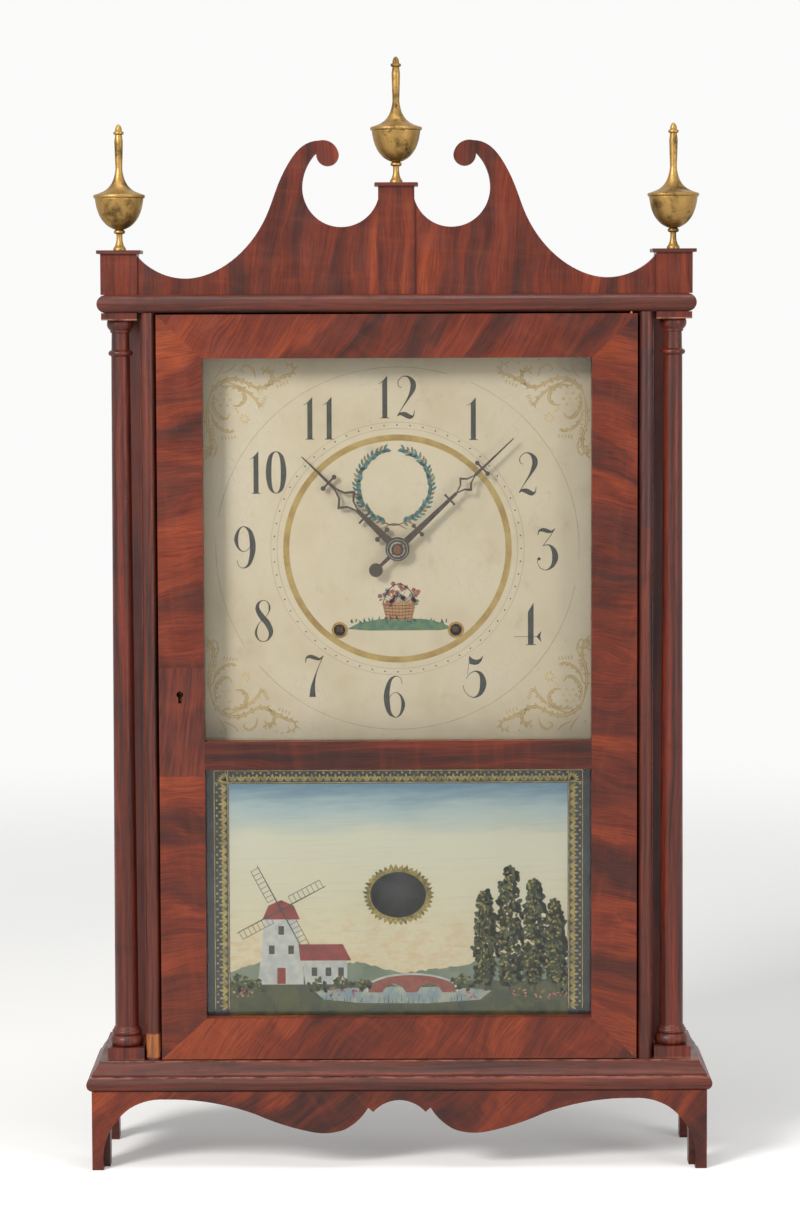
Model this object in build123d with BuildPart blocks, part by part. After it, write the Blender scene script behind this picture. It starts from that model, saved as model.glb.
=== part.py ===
from build123d import *
import os
from math import asin, atan2, cos, degrees, hypot, pi, radians, sin, sqrt

os.makedirs("parts", exist_ok=True)

# Base: x runs across, y from front to back and z up from the floor; the front faces -y
case_depth = 114.0
base_half_width = 222.5
bead_swell = 3.5
bead_height = 11.0
cove_run = 5.2
cove_height = 10.5
moulding_width = 14.0
apron_height = 56.5
apron_thickness = 12.0
foot_width = 8.2
side_foot_width = 13.0
side_arch_height = 47.0

# Case box
case_height = 531.0
case_side_gap = 2.0
case_side_thickness = 9.0
backboard_lap = 4.3
backboard_thickness = 8.0
cornice_reach = 15.3
cornice_thickness = 12.8
cornice_overhang = 4.0

# Door, with a large opening for the dial over a smaller one for the painted glass
door_thickness = 16.0
door_gap = 0.7
door_top_gap = 1.2
door_setback = 0.8
door_stile_width = 32.0
top_rail_height = 30.8
middle_rail_height = 20.1
bottom_rail_height = 29.4
dial_opening_height = 270.6
glass_thickness = 2.0
glass_rebate = 4.0
glass_lip = 11.5
glass_clearance = 0.3
hinge_pin_radius = 1.0
hinge_pin_inset = 4.4
hinge_pin_depth = 2.5
hinge_pin_length = 14.0
keyhole_height = 340.0
keyhole_inset = 14.8

# Half-round stiles beside the door
stile_radius = 5.3
stile_gap = 0.8

# Columns at the front corners
column_inset = 19.1
column_to_door = 25.7
column_plinth = 26.0
column_plinth_height = 9.0
shaft_bottom_radius = 8.4
shaft_top_radius = 6.6
abacus_width = 25.0
abacus_height = 5.0

# Cresting: plinths, scrolls and finials
crest_thickness = 9.0
crest_setback = 2.0
corner_plinth_width = 25.6
corner_plinth_height = 28.7
centre_plinth_width = 25.4
centre_plinth_rise = 9.2
cap_thickness = 2.4
cap_overhang = 2.6
crest_height = 107.0
volute_x = 48.0
volute_radius = 7.9
scroll_eye_x = 38.6
scroll_eye_drop = 33.2
scroll_eye_radius = 27.0
finial_height = 88.0
urn_radius = 18.1

# Dial and hands
dial_drop = 0.7
dial_side_lap = 13.0
dial_end_lap = 11.7
dial_thickness = 6.0
dial_setback = 12.5
winding_x = 41.5
winding_drop = 58.0
grommet_radius = 5.7
grommet_bore = 4.2
hand_hub_radius = 8.5
hand_thickness = 1.5
minute_hand_length = 114.0
hour_hand_length = 94.6
minute_hand_angle = 46.4
hour_hand_angle = -45.8

# Wooden movement between its two plates
plate_half_width = 118.0
plate_below_centre = 133.0
plate_above_centre = 87.0
plate_thickness = 6.0
plate_setback = 16.0
plate_gap = 27.0
arbor_radius = 2.2
pivot_radius = 1.5
stout_pivot_radius = 3.0
running_gap = 0.08
press_gap = 0.02
shoulder_gap = 0.3
pivot_inset = 0.5
drum_radius = 16.0
drum_flange_radius = 19.0
escape_radius = 22.0
escape_teeth = 42
escape_clearance = 0.9875
verge_rise = 5.5
pendulum_length = 312.0
bob_radius = 24.0
bob_thickness = 10.0

# Driving weights on cords over pulleys in the top corners
weight_gap = 5.0
weight_radius = 18.0
weight_height = 130.0
pulley_drop = 21.0
cord_radius = 1.0
cord_slack = 0.3
pulley_groove_radius = 7.7
pulley_flange_radius = 11.0
time_cord_y = 22.0
strike_cord_y = 18.0

# Heights and depths that follow from the sizes above
back_y = case_depth / 2
bead_front = -case_depth / 2
apron_front = bead_front + bead_swell
apron_half = base_half_width - bead_swell
deck_front = apron_front + cove_run
deck_half = apron_half - cove_run
board_front = bead_front + moulding_width
board_half = base_half_width - moulding_width
bead_top = apron_height + bead_height
deck_top = bead_top + cove_height
cornice_bottom = deck_top + case_height
cornice_top = cornice_bottom + cornice_thickness
column_x = deck_half - column_inset
door_half_width = column_x - column_to_door
case_side_inner_half = door_half_width + case_side_gap
backboard_half_width = column_x + backboard_lap
cornice_half_width = column_x + cornice_reach
door_front = deck_front + door_setback
door_back = door_front + door_thickness
door_bottom = deck_top + door_gap
door_top = cornice_bottom - door_top_gap
opening_half = door_half_width - door_stile_width
dial_opening_top = door_top - top_rail_height
dial_opening_bottom = dial_opening_top - dial_opening_height
tablet_top = dial_opening_bottom - middle_rail_height
tablet_bottom = door_bottom + bottom_rail_height
dial_height = (dial_opening_top + dial_opening_bottom) / 2 - dial_drop
dial_half_width = opening_half + dial_side_lap
dial_half_height = dial_opening_height / 2 + dial_end_lap
rebate_y = door_front + glass_lip
stile_x = door_half_width + stile_gap + stile_radius
stile_y = door_front + stile_radius
case_front = door_back + 0.5
inside_back = back_y - backboard_thickness
column_y = door_front + column_plinth / 2
dial_front = door_back + dial_setback
dial_back = dial_front + dial_thickness
plate_front = dial_back + plate_setback
inner_front = plate_front + plate_thickness
inner_back = inner_front + plate_gap
plate_bottom = dial_height - plate_below_centre
plate_top = dial_height + plate_above_centre
winding_height = dial_height - winding_drop
weight_x = case_side_inner_half - weight_radius - weight_gap
pulley_height = cornice_bottom - pulley_drop
hinge_x = door_half_width - hinge_pin_inset
hinge_y = door_front + hinge_pin_depth


def front_plane(y):
    """A sketch plane at depth y whose x is width and whose y is height, seen from the front."""
    return Plane.XZ.offset(-y)


def keep(piece, name):
    """Label a finished piece and write its file."""
    piece.part.label = name
    export_step(piece.part, f"parts/{name}.step")


def board(x, y, z, mode=Mode.ADD):
    """A board from its two faces in each direction."""
    with Locations(((x[0] + x[1]) / 2, (y[0] + y[1]) / 2, (z[0] + z[1]) / 2)):
        Box(x[1] - x[0], y[1] - y[0], z[1] - z[0], mode=mode)


def rod(x, z, y, radius, mode=Mode.ADD):
    """A round rod that runs front to back between two depths."""
    with Locations(Location((x, (y[0] + y[1]) / 2, z), (90, 0, 0))):
        Cylinder(radius, y[1] - y[0], mode=mode)


# Feet and aprons under the base; the scrolled edge is drawn as shares of the apron's half width and height
def on_apron(across, up):
    """A point of the scrolled edge from its shares of the apron's half width and height."""
    return (across * apron_half, up * apron_height)


arch_foot = on_apron(0.8767, 0.7894)
arch_top = on_apron(0.7626, 0.9027)
arch_bend = on_apron(0.4680, 0.7115)
lobe_start = on_apron(0.2863, 0.4814)
lobe_end = on_apron(0.1781, 0.5097)
cusp_tip = on_apron(0.1014, 0.7894)
cusp_step = on_apron(0.0854, 0.7345)
foot_curve = ((apron_half - foot_width, 0), on_apron(0.9384, 0.5221), arch_foot)
arch_shoulder = (arch_foot, on_apron(0.8242, 0.8779), arch_top)
arch_fall = (arch_top, on_apron(0.6301, 0.8708), arch_bend)
arch_sweep = (arch_bend, on_apron(0.3699, 0.5646), lobe_start)
lobe_under = (lobe_start, on_apron(0.2329, 0.4655), lobe_end)
lobe_side = (lobe_end, on_apron(0.1338, 0.6301), cusp_tip)
centre_arch = (cusp_step, on_apron(0.0479, 0.8425), on_apron(0, 0.8867))

with BuildPart() as front_apron:
    with BuildSketch(front_plane(apron_front + apron_thickness)):
        with BuildLine():
            Polyline(foot_curve[0], (apron_half, 0), (apron_half, apron_height), (0, apron_height))
            for arc in (foot_curve, arch_shoulder, arch_fall, arch_sweep, lobe_under, lobe_side):
                ThreePointArc(*arc)
            Line(lobe_side[-1], cusp_step)
            ThreePointArc(*centre_arch)
            mirror(about=Plane.YZ)
        make_face()
    extrude(amount=apron_thickness)
keep(front_apron, "front_apron")

side_apron_front = apron_front + apron_thickness
side_arch_y = (side_apron_front + back_y) / 2
side_foot_top = side_apron_front + side_foot_width + 16.5
side_foot_curve = (
    (side_apron_front + side_foot_width, 0),
    (side_apron_front + side_foot_width + 4.0, side_arch_height * 0.532),
    (side_foot_top, side_arch_height * 0.872),
)

with BuildPart() as side_aprons:
    with BuildSketch(Plane.YZ.offset(apron_half - apron_thickness)):
        with BuildLine():
            ThreePointArc(*side_foot_curve)
            Line(side_foot_curve[0], (side_apron_front, 0))
            Line((side_apron_front, 0), (side_apron_front, apron_height))
            Line((side_apron_front, apron_height), (side_arch_y, apron_height))
            ThreePointArc(
                side_foot_curve[2],
                (side_foot_top + 8.0, side_arch_height * 0.966),
                (side_arch_y, side_arch_height),
            )
            mirror(about=Plane.YZ.offset(side_arch_y))
        make_face()
    extrude(amount=apron_thickness)
    mirror(about=Plane.YZ)
keep(side_aprons, "side_aprons")

# Base board with the bead and cove moulding round its front and sides
with BuildPart() as base_board:
    board((-board_half, board_half), (board_front, back_y), (apron_height, deck_top))
keep(base_board, "base_board")

moulding_path = (
    (-board_half, back_y),
    (-board_half, board_front),
    (board_half, board_front),
    (board_half, back_y),
)
bead_side = moulding_width - bead_height / 2
cove_foot = moulding_width - bead_swell
cove_top = cove_foot - cove_run
fillet_height = 1.2

with BuildPart() as base_moulding:
    with BuildLine() as moulding_line:
        Polyline(*[(x, y, 0) for x, y in moulding_path])
    with BuildSketch(Plane(origin=(-board_half, back_y, 0), x_dir=(-1, 0, 0), z_dir=(0, 1, 0))):
        with BuildLine():
            Polyline((0, deck_top), (0, apron_height), (bead_side, apron_height))
            ThreePointArc(
                (bead_side, apron_height),
                (moulding_width, apron_height + bead_height / 2),
                (bead_side, bead_top),
            )
            Polyline((bead_side, bead_top), (cove_foot, bead_top), (cove_foot, bead_top + fillet_height))
            ThreePointArc(
                (cove_foot, bead_top + fillet_height),
                (cove_top + cove_run / 3, bead_top + cove_height * 0.56),
                (cove_top, deck_top - fillet_height),
            )
            Polyline((cove_top, deck_top - fillet_height), (cove_top, deck_top), (0, deck_top))
        make_face()
    sweep(transition=Transition.RIGHT)
    for side in (-1, 1):
        split(bisect_by=Plane(origin=(side * board_half, board_front, 0), z_dir=(side, 1, 0)), keep=Keep.BOTH)
    with Locations((hinge_x, hinge_y, deck_top - hinge_pin_length / 4)):
        Cylinder(hinge_pin_radius + press_gap, hinge_pin_length / 2, mode=Mode.SUBTRACT)
keep(base_moulding, "base_moulding")

# Case sides, backboard and half-round stiles
lock_y = door_back + 2.5
bolt_thickness = 2.0
bolt_height = 12.0
bolt_travel = 6.0
bolt_slack = 0.6

with BuildPart() as case_sides:
    case_side_outer = case_side_inner_half + case_side_thickness
    board((case_side_inner_half, case_side_outer), (case_front, inside_back), (deck_top, cornice_bottom))
    mirror(about=Plane.YZ)
    board(
        (-case_side_inner_half - bolt_travel, -case_side_inner_half),
        (lock_y - bolt_thickness / 2 - bolt_slack, lock_y + bolt_thickness / 2 + bolt_slack),
        (keyhole_height - bolt_height / 2 - bolt_slack, keyhole_height + bolt_height / 2 + bolt_slack),
        mode=Mode.SUBTRACT,
    )
keep(case_sides, "case_sides")

rail_x = 92.0
rail_width = 24.0

with BuildPart() as backboard:
    board((-backboard_half_width, backboard_half_width), (inside_back, back_y), (deck_top, cornice_bottom))
keep(backboard, "backboard")

# Upright rails on the backboard that hold the movement
with BuildPart() as movement_rails:
    for side in (-1, 1):
        board(
            (side * rail_x - rail_width / 2, side * rail_x + rail_width / 2),
            (inner_back + plate_thickness, inside_back),
            (deck_top, cornice_bottom),
        )
keep(movement_rails, "movement_rails")

with BuildPart() as stiles:
    with BuildSketch(Plane.XY.offset(deck_top)):
        with Locations((stile_x, stile_y)):
            Circle(stile_radius)
        with Locations((stile_x, (stile_y + case_front) / 2)):
            Rectangle(2 * stile_radius, case_front - stile_y)
    extrude(amount=case_height)
    mirror(about=Plane.YZ)
keep(stiles, "stiles")

# Cornice board with a half-round edge on its front and sides
cornice_front = door_front - cornice_overhang
cornice_round = cornice_thickness / 2 - 0.05

with BuildPart() as cornice_board:
    board(
        (-cornice_half_width, cornice_half_width),
        (cornice_front, back_y),
        (cornice_bottom, cornice_top),
    )
    level_edges = cornice_board.edges().filter_by(Axis.Z, reverse=True)
    fillet([edge for edge in level_edges if edge.center().Y < back_y - 1], cornice_round)
    with Locations(Location((hinge_x, hinge_y, cornice_bottom), (180, 0, 0))):
        Hole(hinge_pin_radius + press_gap, hinge_pin_length / 2)
keep(cornice_board, "cornice_board")

# Plinths for the finials
plinth_y = door_front + 1.0 + corner_plinth_width / 2
centre_plinth_y = door_front + 1.0 + centre_plinth_width / 2
plinth_side = column_x - corner_plinth_width / 2
crest_top = cornice_top + crest_height
scroll_eye_z = crest_top - scroll_eye_drop
eye_meets_plinth = scroll_eye_z - sqrt(scroll_eye_radius**2 - (scroll_eye_x - centre_plinth_width / 2) ** 2)
corner_cap_z = cornice_top + corner_plinth_height
centre_cap_z = eye_meets_plinth + centre_plinth_rise

with BuildPart() as plinths:
    for x, y, width, top in (
        (-column_x, plinth_y, corner_plinth_width, corner_cap_z),
        (0, centre_plinth_y, centre_plinth_width, centre_cap_z),
        (column_x, plinth_y, corner_plinth_width, corner_cap_z),
    ):
        board((x - width / 2, x + width / 2), (y - width / 2, y + width / 2), (cornice_top, top))
keep(plinths, "plinths")

with BuildPart() as plinth_caps:
    for x, y, z, width in (
        (-column_x, plinth_y, corner_cap_z, corner_plinth_width),
        (0, centre_plinth_y, centre_cap_z, centre_plinth_width),
        (column_x, plinth_y, corner_cap_z, corner_plinth_width),
    ):
        with BuildSketch(Plane.XY.offset(z)):
            with Locations((x, y)):
                Rectangle(width + 2 * cap_overhang, width + 2 * cap_overhang)
        extrude(amount=cap_thickness)
    chamfer(plinth_caps.edges().group_by(Axis.Z)[-1], 0.6)
keep(plinth_caps, "plinth_caps")

# Scrolled crest boards, one each side of the centre plinth
crest_front = door_front + 1.0 + crest_setback
crest_run = plinth_side - centre_plinth_width / 2
crest_foot = corner_plinth_height - 1.7
volute_z = crest_top - volute_radius - 1.9
eye_low = (
    scroll_eye_x + scroll_eye_radius * cos(radians(-60)),
    scroll_eye_z + scroll_eye_radius * sin(radians(-60)),
)
eye_outer = (
    scroll_eye_x + scroll_eye_radius * cos(radians(-30)),
    scroll_eye_z + scroll_eye_radius * sin(radians(-30)),
)
eye_side = (scroll_eye_x + scroll_eye_radius, scroll_eye_z + scroll_eye_radius / 6)
eye_shoulder = (eye_side[0] - 2.6, (eye_side[1] + volute_z) / 2)
notch = (volute_x + volute_radius * cos(radians(8)), volute_z + volute_radius * sin(radians(8)))
volute_low = (volute_x, volute_z - volute_radius)
volute_inner = (volute_x - volute_radius, volute_z)
volute_crown = (volute_x - 0.61 * volute_radius, volute_z + 0.85 * volute_radius)
scroll_top = (volute_x + 6.0, crest_top)

# The long sweep from the corner plinth up to the scroll, as shares of the board's run and height
sweep_shares = (
    (0.903, 0.139),
    (0.791, 0.105),
    (0.645, 0.180),
    (0.525, 0.350),
    (0.458, 0.529),
    (0.418, 0.699),
    (0.371, 0.852),
    (0.311, 0.965),
)
sweep_points = [
    (centre_plinth_width / 2 + across * crest_run, cornice_top + up * crest_height) for across, up in sweep_shares
]

with BuildPart() as scroll_crest:
    with BuildSketch(front_plane(crest_front + crest_thickness)):
        with BuildLine():
            Polyline(
                (centre_plinth_width / 2, eye_meets_plinth),
                (centre_plinth_width / 2, cornice_top),
                (plinth_side, cornice_top),
                (plinth_side, cornice_top + crest_foot),
            )
            Spline((plinth_side, cornice_top + crest_foot), *sweep_points, scroll_top)
            ThreePointArc(scroll_top, volute_crown, volute_inner)
            ThreePointArc(volute_inner, volute_low, notch)
            ThreePointArc(notch, eye_shoulder, eye_side)
            ThreePointArc(eye_side, eye_outer, eye_low)
            ThreePointArc(
                eye_low,
                (scroll_eye_x, scroll_eye_z - scroll_eye_radius),
                (centre_plinth_width / 2, eye_meets_plinth),
            )
        make_face()
    extrude(amount=crest_thickness)
    mirror(about=Plane.YZ)
keep(scroll_crest, "scroll_crest")

# Brass urn finials
def on_urn(out, up):
    """A point of the urn's profile from its shares of the urn's radius and the finial's height."""
    return (out * urn_radius, up * finial_height)


def finial(x, y, z):
    """One turned urn with a spire, standing at z on its plinth's cap."""
    with BuildSketch(Plane(origin=(x, y, z), x_dir=(1, 0, 0), z_dir=(0, -1, 0))) as half:
        with BuildLine():
            Polyline((0, 0), on_urn(0.249, 0), on_urn(0.249, 0.018))
            ThreePointArc(on_urn(0.249, 0.018), on_urn(0.149, 0.057), on_urn(0.122, 0.131))
            Polyline(on_urn(0.122, 0.131), on_urn(0.215, 0.136), on_urn(0.215, 0.159), on_urn(0.144, 0.166))
            ThreePointArc(on_urn(0.144, 0.166), on_urn(0.696, 0.250), on_urn(0.939, 0.414))
            Polyline(on_urn(0.939, 0.414), on_urn(1, 0.420), on_urn(1, 0.439), on_urn(0.917, 0.445))
            ThreePointArc(on_urn(0.917, 0.445), on_urn(0.348, 0.502), on_urn(0.133, 0.648))
            Polyline(
                on_urn(0.133, 0.648),
                on_urn(0.166, 0.864),
                on_urn(0.133, 0.916),
                on_urn(0.199, 0.923),
                on_urn(0.199, 0.941),
                on_urn(0.127, 0.947),
            )
            ThreePointArc(on_urn(0.127, 0.947), on_urn(0.122, 0.973), on_urn(0.022, 1))
            Polyline(on_urn(0.022, 1), (0, finial_height), (0, 0))
        make_face()
    revolve(half.sketch, axis=Axis((x, y, z), (0, 0, 1)))


with BuildPart() as finials:
    finial(-column_x, plinth_y, corner_cap_z + cap_thickness)
    finial(0, centre_plinth_y, centre_cap_z + cap_thickness)
    finial(column_x, plinth_y, corner_cap_z + cap_thickness)
keep(finials, "finials")


def column(x):
    """A turned column with a square plinth and a square abacus, between deck and cornice."""
    shaft_foot = deck_top + column_plinth_height
    abacus_z = cornice_bottom - abacus_height
    with BuildSketch(Plane(origin=(x, column_y, 0), x_dir=(1, 0, 0), z_dir=(0, -1, 0))) as half:
        with BuildLine():
            Polyline((0, abacus_z), (0, shaft_foot), (10.2, shaft_foot))
            ThreePointArc((10.2, shaft_foot), (12.0, shaft_foot + 3.8), (10.4, shaft_foot + 7.6))
            Line((10.4, shaft_foot + 7.6), (9.6, shaft_foot + 8.2))
            ThreePointArc((9.6, shaft_foot + 8.2), (10.6, shaft_foot + 10.0), (9.6, shaft_foot + 11.8))
            Polyline(
                (9.6, shaft_foot + 11.8),
                (9.2, shaft_foot + 13.2),
                (shaft_bottom_radius, shaft_foot + 14.2),
                (shaft_top_radius, abacus_z - 25.4),
                (8.0, abacus_z - 24.6),
            )
            ThreePointArc((8.0, abacus_z - 24.6), (8.6, abacus_z - 23.2), (8.0, abacus_z - 21.8))
            Polyline(
                (8.0, abacus_z - 21.8),
                (shaft_top_radius - 0.2, abacus_z - 20.8),
                (shaft_top_radius - 0.4, abacus_z - 9.0),
                (7.2, abacus_z - 8.6),
                (7.2, abacus_z - 7.2),
            )
            ThreePointArc((7.2, abacus_z - 7.2), (9.2, abacus_z - 4.4), (9.4, abacus_z - 1.4))
            Polyline((9.4, abacus_z - 1.4), (9.0, abacus_z), (0, abacus_z))
        make_face()
    revolve(half.sketch, axis=Axis((x, column_y, 0), (0, 0, 1)))
    for half_width, z in ((column_plinth / 2, (deck_top, shaft_foot)), (abacus_width / 2, (abacus_z, cornice_bottom))):
        board((x - half_width, x + half_width), (column_y - half_width, column_y + half_width), z)


with BuildPart() as columns:
    column(-column_x)
    column(column_x)
keep(columns, "columns")

# Door frame: mitred stiles and rails with a rebate at the back for the glass
outer_left = (-door_half_width, door_half_width)
inner_sides = (-opening_half, opening_half)


def door_member(outline, rebated):
    """One member: its full outline at the lip, and the rebated outline behind the glass line."""
    with BuildPart() as member:
        with BuildSketch(front_plane(rebate_y)):
            Polygon(*outline, align=None)
        extrude(amount=glass_lip)
        with BuildSketch(front_plane(door_back)):
            Polygon(*rebated, align=None)
        extrude(amount=door_back - rebate_y)
    return member


def mitred_stile(side, step):
    """The corners of a stile, whose inner edge steps back for the glass and ends in mitres."""
    outer = side * door_half_width
    inner = side * (opening_half + step)
    low = tablet_bottom - step
    high = dial_opening_top + step
    return [(outer, door_bottom), (inner, low), (inner, high), (outer, door_top)]


def mitred_rail(edge, inner_edge, step):
    """The corners of the top or bottom rail, whose inner edge steps back for the glass."""
    inner = opening_half + step
    return [(-door_half_width, edge), (-inner, inner_edge), (inner, inner_edge), (door_half_width, edge)]


lock_stile = door_member(mitred_stile(-1, 0), mitred_stile(-1, glass_rebate))
hinge_stile = door_member(mitred_stile(1, 0), mitred_stile(1, glass_rebate))
keyhole_x = -door_half_width + keyhole_inset
keyhole_radius = 2.4
keyhole_slot = 6.2

with BuildPart() as door_stile_lock:
    add(lock_stile.part)
    with BuildSketch(front_plane(door_back)):
        with Locations((keyhole_x, keyhole_height)):
            Circle(keyhole_radius)
        with Locations((keyhole_x, keyhole_height - keyhole_slot / 2)):
            Rectangle(keyhole_radius, keyhole_slot)
    extrude(amount=door_thickness, mode=Mode.SUBTRACT)
keep(door_stile_lock, "door_stile_lock")

with BuildPart() as door_stile_hinge:
    add(hinge_stile.part)
    hinge_hole = hinge_pin_radius + running_gap
    with Locations((hinge_x, hinge_y, door_bottom + hinge_pin_length / 4)):
        Cylinder(hinge_hole, hinge_pin_length / 2, mode=Mode.SUBTRACT)
    with Locations((hinge_x, hinge_y, door_top - hinge_pin_length / 4)):
        Cylinder(hinge_hole, hinge_pin_length / 2, mode=Mode.SUBTRACT)
keep(door_stile_hinge, "door_stile_hinge")

door_rail_bottom = door_member(
    mitred_rail(door_bottom, tablet_bottom, 0),
    mitred_rail(door_bottom, tablet_bottom - glass_rebate, glass_rebate),
)
with BuildPart() as door_rail_bottom_drilled:
    add(door_rail_bottom.part)
    with Locations((hinge_x, hinge_y, door_bottom + hinge_pin_length / 4)):
        Cylinder(hinge_hole, hinge_pin_length / 2, mode=Mode.SUBTRACT)
keep(door_rail_bottom_drilled, "door_rail_bottom")

door_rail_top = door_member(
    mitred_rail(door_top, dial_opening_top, 0),
    mitred_rail(door_top, dial_opening_top + glass_rebate, glass_rebate),
)
with BuildPart() as door_rail_top_drilled:
    add(door_rail_top.part)
    with Locations((hinge_x, hinge_y, door_top - hinge_pin_length / 4)):
        Cylinder(hinge_hole, hinge_pin_length / 2, mode=Mode.SUBTRACT)
keep(door_rail_top_drilled, "door_rail_top")

middle_z = (tablet_top, dial_opening_bottom)
middle_rebated_z = (tablet_top + glass_rebate, dial_opening_bottom - glass_rebate)
with BuildPart() as door_rail_middle:
    board(inner_sides, (door_front, rebate_y), middle_z)
    board((-opening_half - glass_rebate, opening_half + glass_rebate), (rebate_y, door_back), middle_rebated_z)
keep(door_rail_middle, "door_rail_middle")

# The two panes lie in the rebate against the lip
pane_half = opening_half + glass_rebate - glass_clearance
for pane_name, pane_low, pane_high in (
    ("dial_glass", dial_opening_bottom, dial_opening_top),
    ("tablet_glass", tablet_bottom, tablet_top),
):
    with BuildPart() as pane:
        board(
            (-pane_half, pane_half),
            (rebate_y, rebate_y + glass_thickness),
            (pane_low - glass_rebate + glass_clearance, pane_high + glass_rebate - glass_clearance),
        )
    keep(pane, pane_name)

# Hinge pins at the door's right corners
pin_run = 2 * door_gap + hinge_pin_length - 1.0
with BuildPart() as hinge_pins:
    with Locations((hinge_x, hinge_y, deck_top - hinge_pin_length / 2 + pin_run / 2)):
        Cylinder(hinge_pin_radius, pin_run)
    with Locations((hinge_x, hinge_y, cornice_bottom + hinge_pin_length / 2 - pin_run / 2)):
        Cylinder(hinge_pin_radius, pin_run)
keep(hinge_pins, "hinge_pins")

# Lock on the back of the door's left stile, and its sliding bolt
lock_width = 22.0
lock_height = 40.0
lock_wall = 1.2
lock_x = (-door_half_width + 3.0, -door_half_width + 3.0 + lock_width)
lock_z = (keyhole_height - lock_height / 2, keyhole_height + lock_height / 2)

with BuildPart() as lock_case:
    board(lock_x, (door_back, door_back + 5.0), lock_z)
    board(
        (lock_x[0] + lock_wall, lock_x[1] - lock_wall),
        (door_back + lock_wall, door_back + 5.0 - lock_wall),
        (lock_z[0] + lock_wall, lock_z[1] - lock_wall),
        mode=Mode.SUBTRACT,
    )
    board(
        (lock_x[0] - 1, lock_x[0] + lock_wall + 1),
        (door_back + lock_wall, door_back + 5.0 - lock_wall),
        (keyhole_height - bolt_height / 2 - 0.3, keyhole_height + bolt_height / 2 + 0.3),
        mode=Mode.SUBTRACT,
    )
    with Locations(Location((keyhole_x, door_back, keyhole_height), (90, 0, 0))):
        Cylinder(keyhole_radius, 4 * lock_wall, mode=Mode.SUBTRACT)
keep(lock_case, "lock_case")

with BuildPart() as lock_bolt:
    board(
        (lock_x[0] - 1.5, lock_x[0] + lock_width / 3),
        (lock_y - bolt_thickness / 2, lock_y + bolt_thickness / 2),
        (keyhole_height - bolt_height / 2, keyhole_height + bolt_height / 2),
    )
keep(lock_bolt, "lock_bolt")

# Painted dial board on its cleats, with brass grommets in the winding holes
centre_hole_radius = 7.0
grommet_tube = (grommet_radius + grommet_bore) / 2

with BuildPart() as dial_board:
    board(
        (-dial_half_width, dial_half_width),
        (dial_front, dial_back),
        (dial_height - dial_half_height, dial_height + dial_half_height),
    )
    rod(0, dial_height, (dial_front - 1, dial_back + 1), centre_hole_radius, Mode.SUBTRACT)
    for side in (-1, 1):
        rod(side * winding_x, winding_height, (dial_front - 1, dial_back + 1), grommet_tube, Mode.SUBTRACT)
keep(dial_board, "dial_board")

with BuildPart() as winding_grommets:
    for side in (-1, 1):
        rod(side * winding_x, winding_height, (dial_front - 0.6, dial_front), grommet_radius)
        rod(side * winding_x, winding_height, (dial_front, dial_back), grommet_tube)
    for side in (-1, 1):
        rod(side * winding_x, winding_height, (dial_front - 1, dial_back + 1), grommet_bore, Mode.SUBTRACT)
keep(winding_grommets, "winding_grommets")

cleat_width = 25.0
cleat_thickness = 8.0
with BuildPart() as dial_cleats:
    board(
        (case_side_inner_half - cleat_width, case_side_inner_half),
        (dial_back, dial_back + cleat_thickness),
        (dial_height - dial_half_height, dial_height + dial_half_height),
    )
    mirror(about=Plane.YZ)
keep(dial_cleats, "dial_cleats")

# Places of the arbors, each set by the gears that mesh there
great_teeth = 54
centre_teeth = 54
third_teeth = 51
pin_teeth = 48
pinion_leaves = 6
cannon_teeth = 12
minute_wheel_teeth = 36
minute_pinion_teeth = 10
hour_wheel_teeth = 40
count_teeth = 39
count_leaves = 5
great_distance = hypot(winding_x, winding_drop)
great_module = 2 * great_distance / (great_teeth + pinion_leaves)
centre_module = 1.25
third_distance = centre_module * (centre_teeth + pinion_leaves) / 2
third_module = 1.25
escape_distance = third_module * (third_teeth + pinion_leaves) / 2
rise = centre_module * (centre_teeth / 2 + 0.85) + arbor_radius + escape_clearance
escape_height = dial_height + rise
pendulum_height = escape_height + escape_radius + verge_rise
third_rise = (third_distance**2 - escape_distance**2 + rise**2) / (2 * rise)
third_place = (sqrt(third_distance**2 - third_rise**2), dial_height + third_rise)
centre_place = (0.0, dial_height)
escape_place = (0.0, escape_height)
time_place = (winding_x, winding_height)
strike_place = (-winding_x, winding_height)
pin_angle = radians(118)
pin_place = (
    strike_place[0] + great_distance * cos(pin_angle),
    strike_place[1] + great_distance * sin(pin_angle),
)
fly_module = 1.6
fly_distance = fly_module * (pin_teeth + pinion_leaves) / 2
fly_angle = radians(46)
fly_place = (pin_place[0] + fly_distance * cos(fly_angle), pin_place[1] + fly_distance * sin(fly_angle))
count_module = 1.57
count_distance = count_module * (count_teeth + count_leaves) / 2
count_angle = radians(122)
count_place = (
    pin_place[0] + count_distance * cos(count_angle),
    pin_place[1] + count_distance * sin(count_angle),
)
motion_module = 1.0
motion_distance = motion_module * (cannon_teeth + minute_wheel_teeth) / 2
hour_module = 2 * motion_distance / (hour_wheel_teeth + minute_pinion_teeth)
minute_place = (-motion_distance, dial_height)
hammer_place = (-100.0, dial_height - 106.0)
verge_place = (0.0, pendulum_height)


def bearing(start, end):
    """The direction from one arbor to another, in radians."""
    return atan2(end[1] - start[1], end[0] - start[0])


def facing_gap(angle, teeth):
    """The phase that turns a gap between two teeth back towards the gear at the other end."""
    return angle + pi + pi / teeth


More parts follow.
